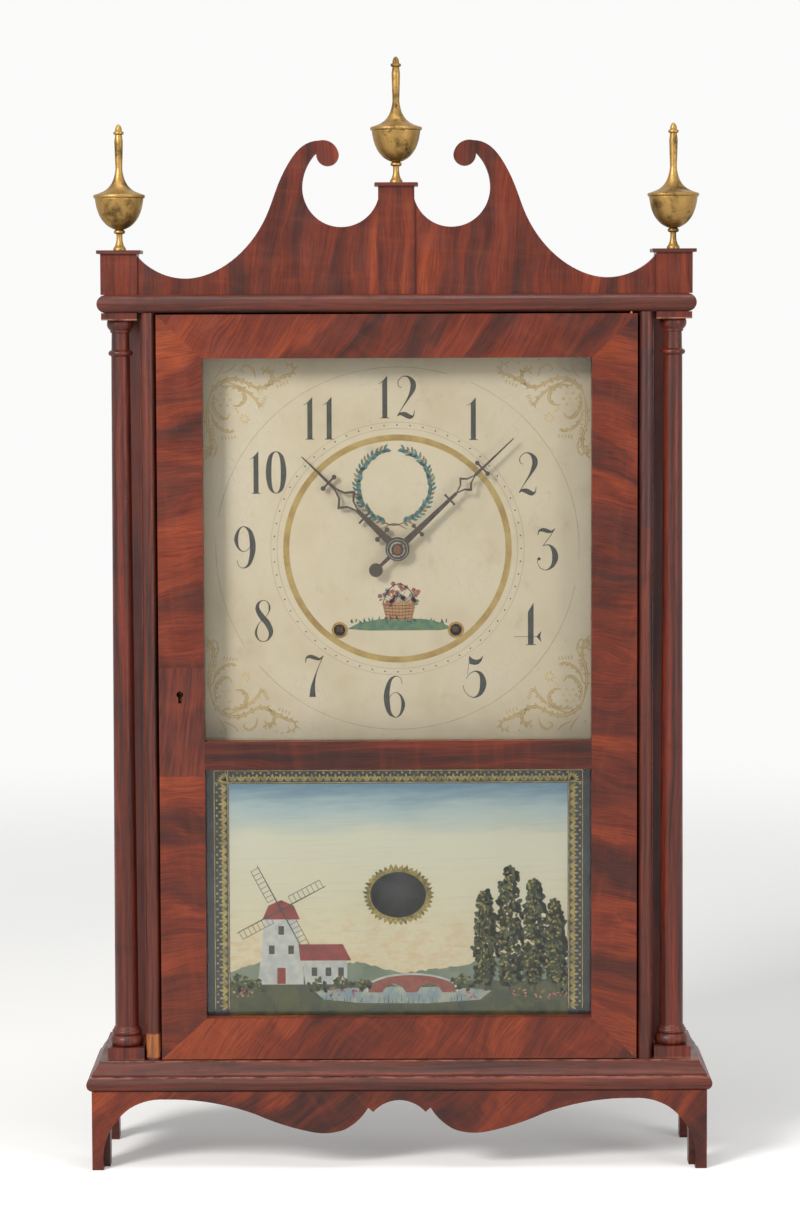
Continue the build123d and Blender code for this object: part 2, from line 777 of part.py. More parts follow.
def gear_outline(place, teeth, module, phase, leaf):
    """The corners of a gear with flat flanks; a pinion's leaves are slimmer than a wheel's teeth."""
    pitch = pi * module
    pitch_radius = teeth * module / 2
    tip_radius = pitch_radius + (0.80 if leaf else 0.85) * module
    root_radius = pitch_radius - (1.30 if leaf else 1.25) * module
    root_half = (0.15 if leaf else 0.24) * pitch / root_radius
    tip_half = (0.10 if leaf else 0.11) * pitch / tip_radius
    points = []
    for tooth in range(teeth):
        angle = phase + 2 * pi * tooth / teeth
        for radius, turn in (
            (root_radius, -root_half),
            (tip_radius, -tip_half),
            (tip_radius, tip_half),
            (root_radius, root_half),
        ):
            points.append((place[0] + radius * cos(angle + turn), place[1] + radius * sin(angle + turn)))
    return points


def gear(place, teeth, module, y, phase, leaf=False):
    """A toothed disc between two depths."""
    with BuildSketch(front_plane(y[1])) as outline:
        Polygon(*gear_outline(place, teeth, module, phase, leaf), align=None)
    extrude(outline.sketch, amount=y[1] - y[0])


def arbor(place, front_pivot=pivot_radius, front_end=None):
    """A turned arbor between the plates, with a pivot in each; the front one may run on forward."""
    front_reach = plate_front + pivot_inset if front_end is None else front_end
    rod(*place, (inner_front + shoulder_gap, inner_back - shoulder_gap), max(arbor_radius, front_pivot + 0.4))
    rod(*place, (front_reach, inner_front + shoulder_gap), front_pivot)
    rod(*place, (inner_back - shoulder_gap, inner_back + plate_thickness - pivot_inset), pivot_radius)


# Depths of the wheels, front to back
great_y = (inner_front + 2.0, inner_front + 5.0)
centre_y = (inner_front + 8.0, inner_front + 10.5)
third_y = (inner_front + 13.0, inner_front + 15.5)
pin_y = (inner_front + 15.0, inner_front + 17.5)
strike_great_y = (inner_back - 5.0, inner_back - 2.0)
drum_y = (inner_front + 6.0, inner_back - 6.0)
hour_y = (dial_back + 0.8, dial_back + 3.0)
minute_y = (dial_back + 4.0, dial_back + 6.2)
escape_y = (plate_front - 5.0, plate_front - 3.3)
count_y = (plate_front - 4.0, plate_front - 2.0)
rod_y = dial_back + 7.8
crutch_y = dial_back + 9.7
fly_y = (inner_back - 7.5, inner_back - 1.5)

# Plates on four pillars, with studs for the minute and count wheels
low_pillar = (plate_half_width - 12.0, plate_bottom + 12.0)
high_pillar = (plate_half_width - 38.0, plate_top - 10.0)
pillar_places = [(side * x, z) for x, z in (low_pillar, high_pillar) for side in (-1, 1)]
pillar_radius = 4.0
tenon_radius = 2.5
stud_radius = 1.6
narrow_pivots = (third_place, escape_place, pin_place, fly_place, hammer_place)
stout_pivots = (centre_place, time_place, strike_place)

with BuildPart() as front_plate:
    board((-plate_half_width, plate_half_width), (plate_front, inner_front), (plate_bottom, plate_top))
    for place in pillar_places:
        rod(*place, (plate_front, inner_front), tenon_radius + press_gap, Mode.SUBTRACT)
    for place in (minute_place, count_place):
        rod(*place, (plate_front, inner_front), stud_radius + press_gap, Mode.SUBTRACT)
    for place in narrow_pivots + (verge_place,):
        rod(*place, (plate_front, inner_front), pivot_radius + running_gap, Mode.SUBTRACT)
    for place in stout_pivots:
        rod(*place, (plate_front, inner_front), stout_pivot_radius + running_gap, Mode.SUBTRACT)
keep(front_plate, "front_plate")

with BuildPart() as back_plate:
    board(
        (-plate_half_width, plate_half_width),
        (inner_back, inner_back + plate_thickness),
        (plate_bottom, plate_top),
    )
    for place in narrow_pivots + stout_pivots:
        rod(*place, (inner_back, inner_back + plate_thickness), pivot_radius + running_gap, Mode.SUBTRACT)
keep(back_plate, "back_plate")

with BuildPart() as plate_pillars:
    for place in pillar_places:
        rod(*place, (inner_front, inner_back), pillar_radius)
        rod(*place, (plate_front, inner_front), tenon_radius)
keep(plate_pillars, "plate_pillars")

with BuildPart() as wheel_studs:
    rod(*minute_place, (hour_y[0], inner_front), stud_radius)
    rod(*count_place, (count_y[0] - 1.0, inner_front), stud_radius)
keep(wheel_studs, "wheel_studs")

# Going train
time_bearing = bearing(time_place, centre_place)
third_bearing = bearing(centre_place, third_place)
escape_bearing = bearing(third_place, escape_place)

with BuildPart() as time_great_wheel:
    gear(time_place, great_teeth, great_module, great_y, time_bearing)
    rod(*time_place, great_y, stout_pivot_radius + 0.4 + running_gap, Mode.SUBTRACT)
keep(time_great_wheel, "time_great_wheel")

hand_y = dial_front - 4.0
minute_hand_y = hand_y - 3.5
minute_tip_y = minute_hand_y - 4.0
cannon_phase = facing_gap(bearing(minute_place, centre_place), cannon_teeth)

with BuildPart() as centre_wheel:
    arbor(centre_place, stout_pivot_radius, minute_tip_y)
    gear(
        centre_place,
        pinion_leaves,
        great_module,
        (great_y[0] - 0.5, great_y[1] + 0.5),
        facing_gap(time_bearing, pinion_leaves),
        leaf=True,
    )
    gear(centre_place, centre_teeth, centre_module, centre_y, third_bearing)
    gear(centre_place, cannon_teeth, motion_module, minute_y, cannon_phase, leaf=True)
keep(centre_wheel, "centre_wheel")

with BuildPart() as third_wheel:
    arbor(third_place)
    gear(
        third_place,
        pinion_leaves,
        centre_module,
        (centre_y[0] - 0.5, centre_y[1] + 0.5),
        facing_gap(third_bearing, pinion_leaves),
        leaf=True,
    )
    gear(third_place, third_teeth, third_module, third_y, escape_bearing)
keep(third_wheel, "third_wheel")

escape_tooth_depth = 3.2

with BuildPart() as escape_wheel:
    arbor(escape_place, front_end=escape_y[0])
    gear(
        escape_place,
        pinion_leaves,
        third_module,
        (third_y[0] - 0.5, third_y[1] + 0.5),
        facing_gap(escape_bearing, pinion_leaves),
        leaf=True,
    )
    escape_points = []
    for tooth in range(escape_teeth):
        tooth_angle = 2 * pi * tooth / escape_teeth
        for radius, turn in ((escape_radius - escape_tooth_depth, 0), (escape_radius, 0.005), (escape_radius, 0.02)):
            escape_points.append(
                (
                    escape_place[0] + radius * cos(tooth_angle + turn),
                    escape_place[1] + radius * sin(tooth_angle + turn),
                )
            )
    with BuildSketch(front_plane(escape_y[1])):
        Polygon(*escape_points, align=None)
    extrude(amount=escape_y[1] - escape_y[0])
keep(escape_wheel, "escape_wheel")

# Verge: a bent steel strip whose pallets stand over the escape wheel, with its crutch
pallet_angle = radians(40)
pallet_clearance = 1.1
pallet_radius = escape_radius + pallet_clearance
crutch_z = pendulum_height - 22.0
rod_radius = 0.8
fork_gap = 0.3

with BuildPart() as verge:
    rod(*verge_place, (crutch_y - 0.5, plate_front - 0.3), pivot_radius + 0.8)
    rod(*verge_place, (plate_front - 0.3, inner_front - 0.5), pivot_radius)
    with BuildSketch(front_plane(escape_y[1])):
        for side in (-1, 1):
            tip = (side * pallet_radius * sin(pallet_angle), escape_height + pallet_radius * cos(pallet_angle))
            Polygon(
                (0, pendulum_height + 2.2),
                (tip[0] + side * 2.6, tip[1] + 3.4),
                (tip[0] + side * 0.6, tip[1]),
                (tip[0] - side * 0.6, tip[1] + 0.5),
                (tip[0] + side * 0.6, tip[1] + 4.0),
                (0, pendulum_height - 2.2),
                align=None,
            )
    extrude(amount=escape_y[1] - escape_y[0])
    board((-0.6, 0.6), (crutch_y - 0.5, crutch_y + 0.5), (crutch_z, pendulum_height))
    fork_x = rod_radius + fork_gap
    board((-fork_x - 0.8, fork_x + 0.8), (crutch_y - 0.5, crutch_y + 0.5), (crutch_z - 0.8, crutch_z + 0.8))
    for side in (-1, 1):
        prong = sorted((side * fork_x, side * (fork_x + 0.8)))
        board(prong, (rod_y - rod_radius, crutch_y), (crutch_z - 0.8, crutch_z + 0.8))
keep(verge, "verge")

# Pendulum on its cock, with a loop in the wire that clears the centre arbor
cock_pin_radius = 1.0
eye_outer_radius = 2.6
loop_half_width = 11.0
loop_half_height = 16.0
bob_height = pendulum_height - pendulum_length
cock_y = (rod_y - 3.2, rod_y - 1.4)

with BuildPart() as pendulum_cock:
    rod(*verge_place, (cock_y[0], rod_y + rod_radius), cock_pin_radius)
    board((-4, 4), cock_y, (pendulum_height - 3, pendulum_height + 12))
    board((-4, 4), (cock_y[0], plate_front), (pendulum_height + 9, pendulum_height + 12))
    board((-4, 4), (plate_front - 1.5, plate_front), (pendulum_height + 9, plate_top))
keep(pendulum_cock, "pendulum_cock")

with BuildPart() as pendulum_rod:
    rod(*verge_place, (rod_y - rod_radius, rod_y + rod_radius), eye_outer_radius)
    loop_top = dial_height + loop_half_height
    loop_bottom = dial_height - loop_half_height
    rod_top = pendulum_height - cock_pin_radius - running_gap - 0.2
    with BuildSketch(front_plane(rod_y + rod_radius)):
        with Locations((0, (rod_top + loop_top) / 2)):
            Rectangle(2 * rod_radius, rod_top - loop_top)
        with Locations((0, (loop_bottom + bob_height) / 2)):
            Rectangle(2 * rod_radius, loop_bottom - bob_height)
        with Locations((0, dial_height)):
            Ellipse(loop_half_width + 2 * rod_radius, loop_half_height + rod_radius)
            Ellipse(loop_half_width, loop_half_height - rod_radius, mode=Mode.SUBTRACT)
    extrude(amount=2 * rod_radius)
    rod(*verge_place, (rod_y - 2, rod_y + 2), cock_pin_radius + running_gap, Mode.SUBTRACT)
keep(pendulum_rod, "pendulum_rod")

with BuildPart() as pendulum_bob:
    with BuildSketch(Plane(origin=(0, rod_y, bob_height), x_dir=(1, 0, 0), z_dir=(0, 0, 1))):
        with BuildLine():
            ThreePointArc((0, -bob_thickness / 2), (bob_radius * 0.62, -3.2), (bob_radius, -0.4))
            Line((bob_radius, -0.4), (bob_radius, 0.4))
            ThreePointArc((bob_radius, 0.4), (bob_radius * 0.62, 3.2), (0, bob_thickness / 2))
            Line((0, bob_thickness / 2), (0, -bob_thickness / 2))
        make_face()
    revolve(axis=Axis((0, rod_y, bob_height), (0, 1, 0)))
    board(
        (-rod_radius, rod_radius),
        (rod_y - rod_radius, rod_y + rod_radius),
        (bob_height, bob_height + bob_radius + 1),
        mode=Mode.SUBTRACT,
    )
keep(pendulum_bob, "pendulum_bob")

# Motion work behind the dial
hour_bearing = bearing(centre_place, minute_place)
hour_pipe_radius = 5.5

with BuildPart() as minute_wheel:
    gear(minute_place, minute_wheel_teeth, motion_module, minute_y, bearing(minute_place, centre_place))
    gear(
        minute_place,
        minute_pinion_teeth,
        hour_module,
        (hour_y[0], minute_y[0]),
        facing_gap(hour_bearing, minute_pinion_teeth),
        leaf=True,
    )
    rod(*minute_place, (hour_y[0] - 1, minute_y[1] + 1), stud_radius + running_gap, Mode.SUBTRACT)
keep(minute_wheel, "minute_wheel")

with BuildPart() as hour_wheel:
    gear(centre_place, hour_wheel_teeth, hour_module, hour_y, hour_bearing)
    rod(*centre_place, (hand_y, hour_y[0]), hour_pipe_radius)
    rod(*centre_place, (hand_y - 1, hour_y[1] + 1), stout_pivot_radius + running_gap, Mode.SUBTRACT)
keep(hour_wheel, "hour_wheel")


def hand_plane(y, clock_angle):
    """A plane at the dial's centre whose y axis points along the hand."""
    turn = radians(clock_angle)
    return Plane(origin=(0, y, dial_height), x_dir=(cos(turn), 0, -sin(turn)), z_dir=(0, -1, 0))


def diamond(half_width, half_length, centre):
    """A diamond with hollow sides, as points round its four corners."""
    pinch = 0.36
    corners = [(half_width, 0), (0, half_length), (-half_width, 0), (0, -half_length)]
    points = []
    for start, end in zip(corners, corners[1:] + corners[:1]):
        points.append((start[0], start[1] + centre))
        points.append((pinch * (start[0] + end[0]), pinch * (start[1] + end[1]) + centre))
    return points


def cross_bar(centre, half_width, ball_radius):
    """A small bar across the hand with a ball at each end."""
    with Locations((0, centre)):
        Rectangle(2 * half_width, 1.4)
    with Locations((-half_width, centre), (half_width, centre)):
        Circle(ball_radius)


with BuildPart() as minute_hand:
    with BuildSketch(hand_plane(minute_hand_y, minute_hand_angle)):
        Circle(hand_hub_radius - 1.0)
        Polygon((-2.6, 0), (2.6, 0), (1.1, 58), (-1.1, 58), align=None)
        Polygon((-1.0, 76), (1.0, 76), (0.35, minute_hand_length), (-0.35, minute_hand_length), align=None)
        Polygon(*diamond(6.6, 10.5, 67.1), align=None)
        Polygon(*diamond(4.4, 8.0, 67.1), align=None, mode=Mode.SUBTRACT)
        cross_bar(20.0, 4.2, 1.5)
        cross_bar(51.3, 4.4, 0.8)
        cross_bar(83.4, 5.2, 1.6)
        Polygon((-1.6, 0), (1.6, 0), (1.0, -21), (-1.0, -21), align=None)
        with Locations((0, -21.2)):
            Circle(4.9)
        Circle(stout_pivot_radius, mode=Mode.SUBTRACT)
    extrude(amount=hand_thickness)
keep(minute_hand, "minute_hand")

with BuildPart() as hour_hand:
    with BuildSketch(hand_plane(hand_y, hour_hand_angle)):
        Circle(hand_hub_radius)
        Polygon((-3.0, 0), (3.0, 0), (1.4, 40), (-1.4, 40), align=None)
        Polygon((-1.2, 60), (1.2, 60), (0.35, hour_hand_length), (-0.35, hour_hand_length), align=None)
        Polygon(*diamond(9.2, 13.5, 50.5), align=None)
        Polygon(*diamond(6.4, 10.6, 50.5), align=None, mode=Mode.SUBTRACT)
        cross_bar(15.0, 4.8, 1.8)
        cross_bar(32.4, 5.0, 0.8)
        cross_bar(68.0, 5.6, 1.7)
        Circle(stout_pivot_radius + running_gap, mode=Mode.SUBTRACT)
    extrude(amount=hand_thickness)
keep(hour_hand, "hour_hand")


# Winding drums with squared ends behind the dial's winding holes
def drum(place):
    """A flanged drum on its arbor, squared in front for the key."""
    with BuildPart() as spool:
        arbor(place, stout_pivot_radius, plate_front - 1.0)
        with BuildSketch(front_plane(plate_front - 1.0)):
            with Locations(place):
                Rectangle(4.2, 4.2)
        extrude(amount=plate_front - 1.0 - dial_back - 1.0)
        rod(*place, drum_y, drum_radius)
        for flange_y in ((drum_y[0], drum_y[0] + 1.5), (drum_y[1] - 1.5, drum_y[1])):
            rod(*place, flange_y, drum_flange_radius)
    return spool


keep(drum(time_place), "time_drum")
keep(drum(strike_place), "strike_drum")

# Striking train
pin_bearing = bearing(strike_place, pin_place)
fly_bearing = bearing(pin_place, fly_place)
count_bearing = bearing(count_place, pin_place)
pin_circle = 32.0
lifting_pins = 10

with BuildPart() as strike_great_wheel:
    gear(strike_place, great_teeth, great_module, strike_great_y, pin_bearing)
    rod(*strike_place, strike_great_y, stout_pivot_radius + 0.4 + running_gap, Mode.SUBTRACT)
keep(strike_great_wheel, "strike_great_wheel")

with BuildPart() as pin_wheel:
    arbor(pin_place, front_end=count_y[0] - 0.5)
    gear(
        pin_place,
        pinion_leaves,
        great_module,
        (strike_great_y[0] - 0.5, strike_great_y[1] + 0.5),
        facing_gap(pin_bearing, pinion_leaves),
        leaf=True,
    )
    gear(pin_place, pin_teeth, fly_module, pin_y, fly_bearing)
    gear(
        pin_place,
        count_leaves,
        count_module,
        (count_y[0] - 0.5, count_y[1] + 0.5),
        facing_gap(count_bearing, count_leaves),
        leaf=True,
    )
    for pin in range(lifting_pins):
        pin_turn = fly_bearing + 2 * pi * pin / lifting_pins
        pin_centre = (pin_place[0] + pin_circle * cos(pin_turn), pin_place[1] + pin_circle * sin(pin_turn))
        rod(*pin_centre, (pin_y[0] - 4.0, pin_y[0]), 1.2)
keep(pin_wheel, "pin_wheel")

fly_half_length = 18.0
with BuildPart() as fly:
    arbor(fly_place)
    gear(
        fly_place,
        pinion_leaves,
        fly_module,
        (pin_y[0] - 0.5, pin_y[1] + 0.5),
        facing_gap(fly_bearing, pinion_leaves),
        leaf=True,
    )
    board(
        (fly_place[0] - fly_half_length, fly_place[0] + fly_half_length),
        fly_y,
        (fly_place[1] - 0.6, fly_place[1] + 0.6),
    )
keep(fly, "fly")

with BuildPart() as count_wheel:
    gear(count_place, count_teeth, count_module, count_y, count_bearing)
    rod(*count_place, count_y, stud_radius + running_gap, Mode.SUBTRACT)
keep(count_wheel, "count_wheel")

# Bell on its standard, and the hammer on a wire arm
bell_place = (0.0, dial_height - 169.0)
bell_radius = 28.0
bell_mouth_y = 38.0
bell_crown_y = 20.0
bell_wall = 1.6
bell_hole = 2.0
hammer_radius = 5.0
hammer_length = 14.0
hammer_gap = 0.8
hammer_y = 30.0
hammer_wire = 2.0
hammer_tail = 64.0
hammer_head = (bell_place[0] - bell_radius - hammer_gap - hammer_length / 2, bell_place[1])

with BuildPart() as bell:
    with BuildSketch(Plane(origin=(0, 0, bell_place[1]), x_dir=(1, 0, 0), z_dir=(0, 0, 1))):
        with BuildLine():
            TangentArc((bell_hole, bell_crown_y), (bell_radius, bell_mouth_y), tangent=(1, 0))
            Line((bell_radius, bell_mouth_y), (bell_radius - bell_wall, bell_mouth_y))
            TangentArc(
                (bell_hole, bell_crown_y + bell_wall),
                (bell_radius - bell_wall, bell_mouth_y),
                tangent=(1, 0),
            )
            Line((bell_hole, bell_crown_y + bell_wall), (bell_hole, bell_crown_y))
        make_face()
    revolve(axis=Axis((bell_place[0], 0, bell_place[1]), (0, 1, 0)))
keep(bell, "bell")

with BuildPart() as bell_stand:
    rod(*bell_place, (bell_crown_y - 2.0, inside_back), bell_hole - 0.05)
    rod(*bell_place, (bell_crown_y + bell_wall + 0.1, inside_back), 3.0)
    rod(*bell_place, (inside_back - 3.0, inside_back), 9.0)
    rod(*bell_place, (bell_crown_y - 2.0, bell_crown_y), 3.5)
keep(bell_stand, "bell_stand")

arm_run = (hammer_head[0] - hammer_place[0], hammer_head[1] - hammer_place[1])
arm_length = hypot(*arm_run)
with BuildPart() as hammer:
    arbor(hammer_place)
    with BuildSketch(front_plane(hammer_y + hammer_wire / 2)):
        with Locations(
            Location(
                (hammer_place[0] + arm_run[0] / 2, hammer_place[1] + arm_run[1] / 2),
                degrees(atan2(arm_run[1], arm_run[0])),
            )
        ):
            Rectangle(arm_length, hammer_wire)
    extrude(amount=hammer_wire)
    board(
        (hammer_place[0] - hammer_wire / 2, hammer_place[0] + hammer_wire / 2),
        (pin_y[0] - 3.0, pin_y[0] - 3.0 + hammer_wire),
        (hammer_place[1], hammer_place[1] + hammer_tail),
    )
    with Locations(Location((hammer_head[0], hammer_y, hammer_head[1]), (0, 90, 0))):
        Cylinder(hammer_radius, hammer_length)
keep(hammer, "hammer")

# Cords from the drums over the pulleys, and the weights they carry
wound_radius = drum_radius + cord_radius + cord_slack
turned_radius = pulley_groove_radius + cord_radius + cord_slack
pulley_x = weight_x - turned_radius
centre_run = (pulley_x - winding_x, pulley_height - winding_height)
cross_angle = asin((wound_radius + turned_radius) / hypot(*centre_run))
run_angle = atan2(centre_run[1], centre_run[0]) + cross_angle
run_normal = (sin(run_angle), -cos(run_angle))
run_start = (winding_x + wound_radius * run_normal[0], winding_height + wound_radius * run_normal[1])
run_end = (pulley_x - turned_radius * run_normal[0], pulley_height - turned_radius * run_normal[1])
arc_middle_angle = (atan2(-run_normal[1], -run_normal[0])) / 2
arc_middle = (
    pulley_x + turned_radius * cos(arc_middle_angle),
    pulley_height + turned_radius * sin(arc_middle_angle),
)

with BuildPart() as cord_runs:
    for side, cord_y in ((1, time_cord_y), (-1, strike_cord_y)):
        with BuildLine() as run_line:
            Line((side * run_start[0], cord_y, run_start[1]), (side * run_end[0], cord_y, run_end[1]))
            ThreePointArc(
                (side * run_end[0], cord_y, run_end[1]),
                (side * arc_middle[0], cord_y, arc_middle[1]),
                (side * weight_x, cord_y, pulley_height),
            )
        with BuildSketch(Plane(origin=run_line.line @ 0, z_dir=run_line.line % 0)):
            Circle(cord_radius)
        sweep(path=run_line.line)
keep(cord_runs, "cord_runs")

block_reach = 6.0
block_thickness = 3.0
pulley_pin_radius = 1.5
with BuildPart() as pulley_blocks:
    for side, cord_y in ((1, time_cord_y), (-1, strike_cord_y)):
        for cheek in (-1, 1):
            cheek_y = sorted((cord_y + cheek * block_reach, cord_y + cheek * (block_reach + block_thickness)))
            board(
                (side * pulley_x - block_reach, side * pulley_x + block_reach),
                cheek_y,
                (pulley_height - block_reach, cornice_bottom),
            )
        rod(side * pulley_x, pulley_height, (cord_y - block_reach, cord_y + block_reach), pulley_pin_radius)
keep(pulley_blocks, "pulley_blocks")

weight_eye_radius = 4.0
weight_bottom = deck_top + 0.5
weight_eye_z = weight_bottom + weight_height + weight_eye_radius + 1.0


def pulley(side, cord_y):
    """A grooved pulley that turns on the pin between its cheeks."""
    axle = (side * pulley_x, pulley_height)
    with BuildPart() as wheel:
        rod(*axle, (cord_y - 3.5, cord_y + 3.5), pulley_groove_radius)
        rod(*axle, (cord_y - 3.5, cord_y - 2.0), pulley_flange_radius)
        rod(*axle, (cord_y + 2.0, cord_y + 3.5), pulley_flange_radius)
        rod(*axle, (cord_y - 4, cord_y + 4), pulley_pin_radius + running_gap, Mode.SUBTRACT)
    return wheel


def weight(side, cord_y):
    """A cast cylinder with a wire eye for the cord."""
    with BuildPart() as cast:
        with Locations((side * weight_x, cord_y, weight_bottom + weight_height / 2)):
            Cylinder(weight_radius, weight_height)
        fillet(cast.edges().filter_by(GeomType.CIRCLE), 2.5)
        with Locations(Location((side * weight_x, cord_y, weight_eye_z), (90, 0, 0))):
            Torus(weight_eye_radius, 1.2)
    return cast


def hanging_cord(side, cord_y):
    """The plumb length between the pulley and the weight's eye."""
    low = weight_eye_z + weight_eye_radius + 1.2
    with BuildPart() as plumb:
        with Locations((side * weight_x, cord_y, (low + pulley_height) / 2)):
            Cylinder(cord_radius, pulley_height - low)
    return plumb


for side, train, cord_y in ((1, "time", time_cord_y), (-1, "strike", strike_cord_y)):
    keep(pulley(side, cord_y), f"{train}_pulley")
    keep(weight(side, cord_y), f"{train}_weight")
    keep(hanging_cord(side, cord_y), f"{train}_cord")
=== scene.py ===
import math
import random

import bmesh
import bpy
from mathutils import Matrix, Vector


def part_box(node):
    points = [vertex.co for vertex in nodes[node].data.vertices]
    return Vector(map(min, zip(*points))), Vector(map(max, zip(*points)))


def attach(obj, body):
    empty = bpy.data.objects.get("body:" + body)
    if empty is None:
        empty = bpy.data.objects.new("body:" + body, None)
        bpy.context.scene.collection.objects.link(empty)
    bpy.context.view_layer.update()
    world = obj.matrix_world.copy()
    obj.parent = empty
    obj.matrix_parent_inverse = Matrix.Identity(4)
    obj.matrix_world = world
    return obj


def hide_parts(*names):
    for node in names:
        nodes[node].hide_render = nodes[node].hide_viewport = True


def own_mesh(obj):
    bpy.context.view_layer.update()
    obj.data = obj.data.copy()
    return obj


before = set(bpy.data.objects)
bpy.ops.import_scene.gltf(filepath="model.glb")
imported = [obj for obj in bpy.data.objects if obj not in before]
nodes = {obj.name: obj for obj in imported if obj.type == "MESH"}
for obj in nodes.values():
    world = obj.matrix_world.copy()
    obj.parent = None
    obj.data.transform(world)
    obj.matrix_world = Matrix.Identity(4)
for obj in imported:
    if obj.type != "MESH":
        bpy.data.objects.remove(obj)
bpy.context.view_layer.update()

MM = 0.001


# Shader sums and nodes


class Signal:
    """A shader socket that can be used in sums; each sum adds the node that works it out."""

    def __init__(self, finish, socket, vector=False):
        self.finish = finish
        self.socket = socket
        self.vector = vector

    def __add__(self, other):
        return self.finish.sum("ADD", self, other)

    def __radd__(self, other):
        return self.finish.sum("ADD", other, self)

    def __sub__(self, other):
        return self.finish.sum("SUBTRACT", self, other)

    def __rsub__(self, other):
        return self.finish.sum("SUBTRACT", other, self)

    def __mul__(self, other):
        return self.finish.sum("MULTIPLY", self, other)

    def __rmul__(self, other):
        return self.finish.sum("MULTIPLY", other, self)


class Finish:
    """A material or the studio's world in the making, with a short call for each kind of node."""

    def __init__(self, name, world=None):
        self.material = world or bpy.data.materials.new(name)
        self.material.use_nodes = True
        self.tree = self.material.node_tree
        self.tree.nodes.clear()
        self.end = self.tree.nodes.new("ShaderNodeOutputWorld" if world else "ShaderNodeOutputMaterial")

    def feed(self, socket, value):
        """Link a signal to a socket, or set a plain number or colour on it."""
        if isinstance(value, Signal):
            self.tree.links.new(value.socket, socket)
        elif socket.type == "RGBA":
            socket.default_value = (*value, 1.0)[:4]
        else:
            socket.default_value = value

    def node(self, kind, settings=(), inputs=(), out=0, vector=False):
        """Any node: its type, its settings, and the values or links of its sockets."""
        made = self.tree.nodes.new("ShaderNode" + kind)
        for name, value in dict(settings).items():
            if name == "stops":
                ramp = made.color_ramp
                while len(ramp.elements) < len(value):
                    ramp.elements.new(0.5)
                for element, (position, colour) in zip(ramp.elements, value):
                    element.position = position
                    element.color = (*colour, 1.0)
            else:
                setattr(made, name, value)
        for socket, value in dict(inputs).items():
            self.feed(made.inputs[socket], value)
        return Signal(self, made.outputs[out], vector)

    def sum(self, operation, *terms):
        """A Math node, or a Vector Math node where a term is a vector."""
        vector = any(isinstance(t, tuple) or (isinstance(t, Signal) and t.vector) for t in terms)
        kind = "VectorMath" if vector else "Math"
        filled = [(t, t, t) if vector and isinstance(t, (int, float)) else t for t in terms]
        return self.node(kind, {"operation": operation}, dict(enumerate(filled)), vector=vector)

    def greatest(self, a, b):
        return self.sum("MAXIMUM", a, b)

    def place(self, size, turn=0.0, seed=0.0):
        """Places on the piece, counted in grains of this size in metres, turned in the front plane."""
        return self.node(
            "Mapping",
            {"vector_type": "TEXTURE"},
            {
                "Vector": self.node("TexCoord", out=3),
                "Location": (seed, seed * 0.7, seed * 1.3),
                "Rotation": (0.0, -math.radians(turn), 0.0),
                "Scale": size,
            },
            vector=True,
        )

    def axes(self):
        """The x, y and z of a place on the piece, in millimetres."""
        parts = self.tree.nodes.new("ShaderNodeSeparateXYZ")
        self.feed(parts.inputs[0], self.node("TexCoord", out=3))
        return [Signal(self, output) * 1000.0 for output in parts.outputs]

    def noise(self, place, detail=2.0, roughness=0.5):
        settings = {"noise_dimensions": "3D"}
        return self.node(
            "TexNoise", settings, {"Vector": place, "Scale": 1.0, "Detail": detail, "Roughness": roughness}
        )

    def pushed(self, place, push):
        """Places moved across the grain by a signal."""
        return place + self.node("CombineXYZ", (), {"Z": push}, vector=True)

    def step(self, value, low, high):
        """0 below low and 1 above high, smooth between."""
        settings = {"interpolation_type": "SMOOTHSTEP"}
        return self.node("MapRange", settings, {"Value": value, "From Min": low, "From Max": high})

    def window(self, value, low, high, soft=0.6):
        """1 between low and high and 0 outside."""
        return self.step(value, low - soft, low + soft) * (1.0 - self.step(value, high - soft, high + soft))

    def ramp(self, value, *stops):
        return self.node("ValToRGB", {"stops": stops}, {0: value})

    def mix(self, share, a, b):
        return self.node("Mix", {"data_type": "RGBA"}, {0: share, 6: a, 7: b}, out=2)

    def tint(self, colour, share, other):
        """A colour multiplied by another one, as far as share says."""
        settings = {"data_type": "RGBA", "blend_type": "MULTIPLY"}
        return self.node("Mix", settings, {0: share, 6: colour, 7: other}, out=2)

    def bump(self, height, distance, strength=1.0):
        return self.node("Bump", (), {"Strength": strength, "Distance": distance, "Height": height})

    def coated(self, **inputs):
        """The main shader, with its socket names written with underscores, led to the output."""
        named = {name.replace("_", " "): value for name, value in inputs.items()}
        self.finish_with(self.node("BsdfPrincipled", (), named))
        return self.material

    def finish_with(self, shader):
        self.tree.links.new(shader.socket, self.end.inputs["Surface"])


def linear(red, green, blue):
    """A colour as seen on a screen, 0 to 255, turned into light."""
    return tuple(
        ((c / 255 + 0.055) / 1.055) ** 2.4 if c > 10 else c / 255 / 12.92 for c in (red, green, blue)
    )


# Finishes

DARK_MAHOGANY = linear(46, 18, 12)
DEEP_MAHOGANY = linear(76, 28, 15)
RED_MAHOGANY = linear(104, 39, 19)
ORANGE_MAHOGANY = linear(142, 62, 28)
SHELLAC_SPECULAR = 0.32
VENEER_ROUGHNESS = 0.30
MOULDING_ROUGHNESS = 0.36


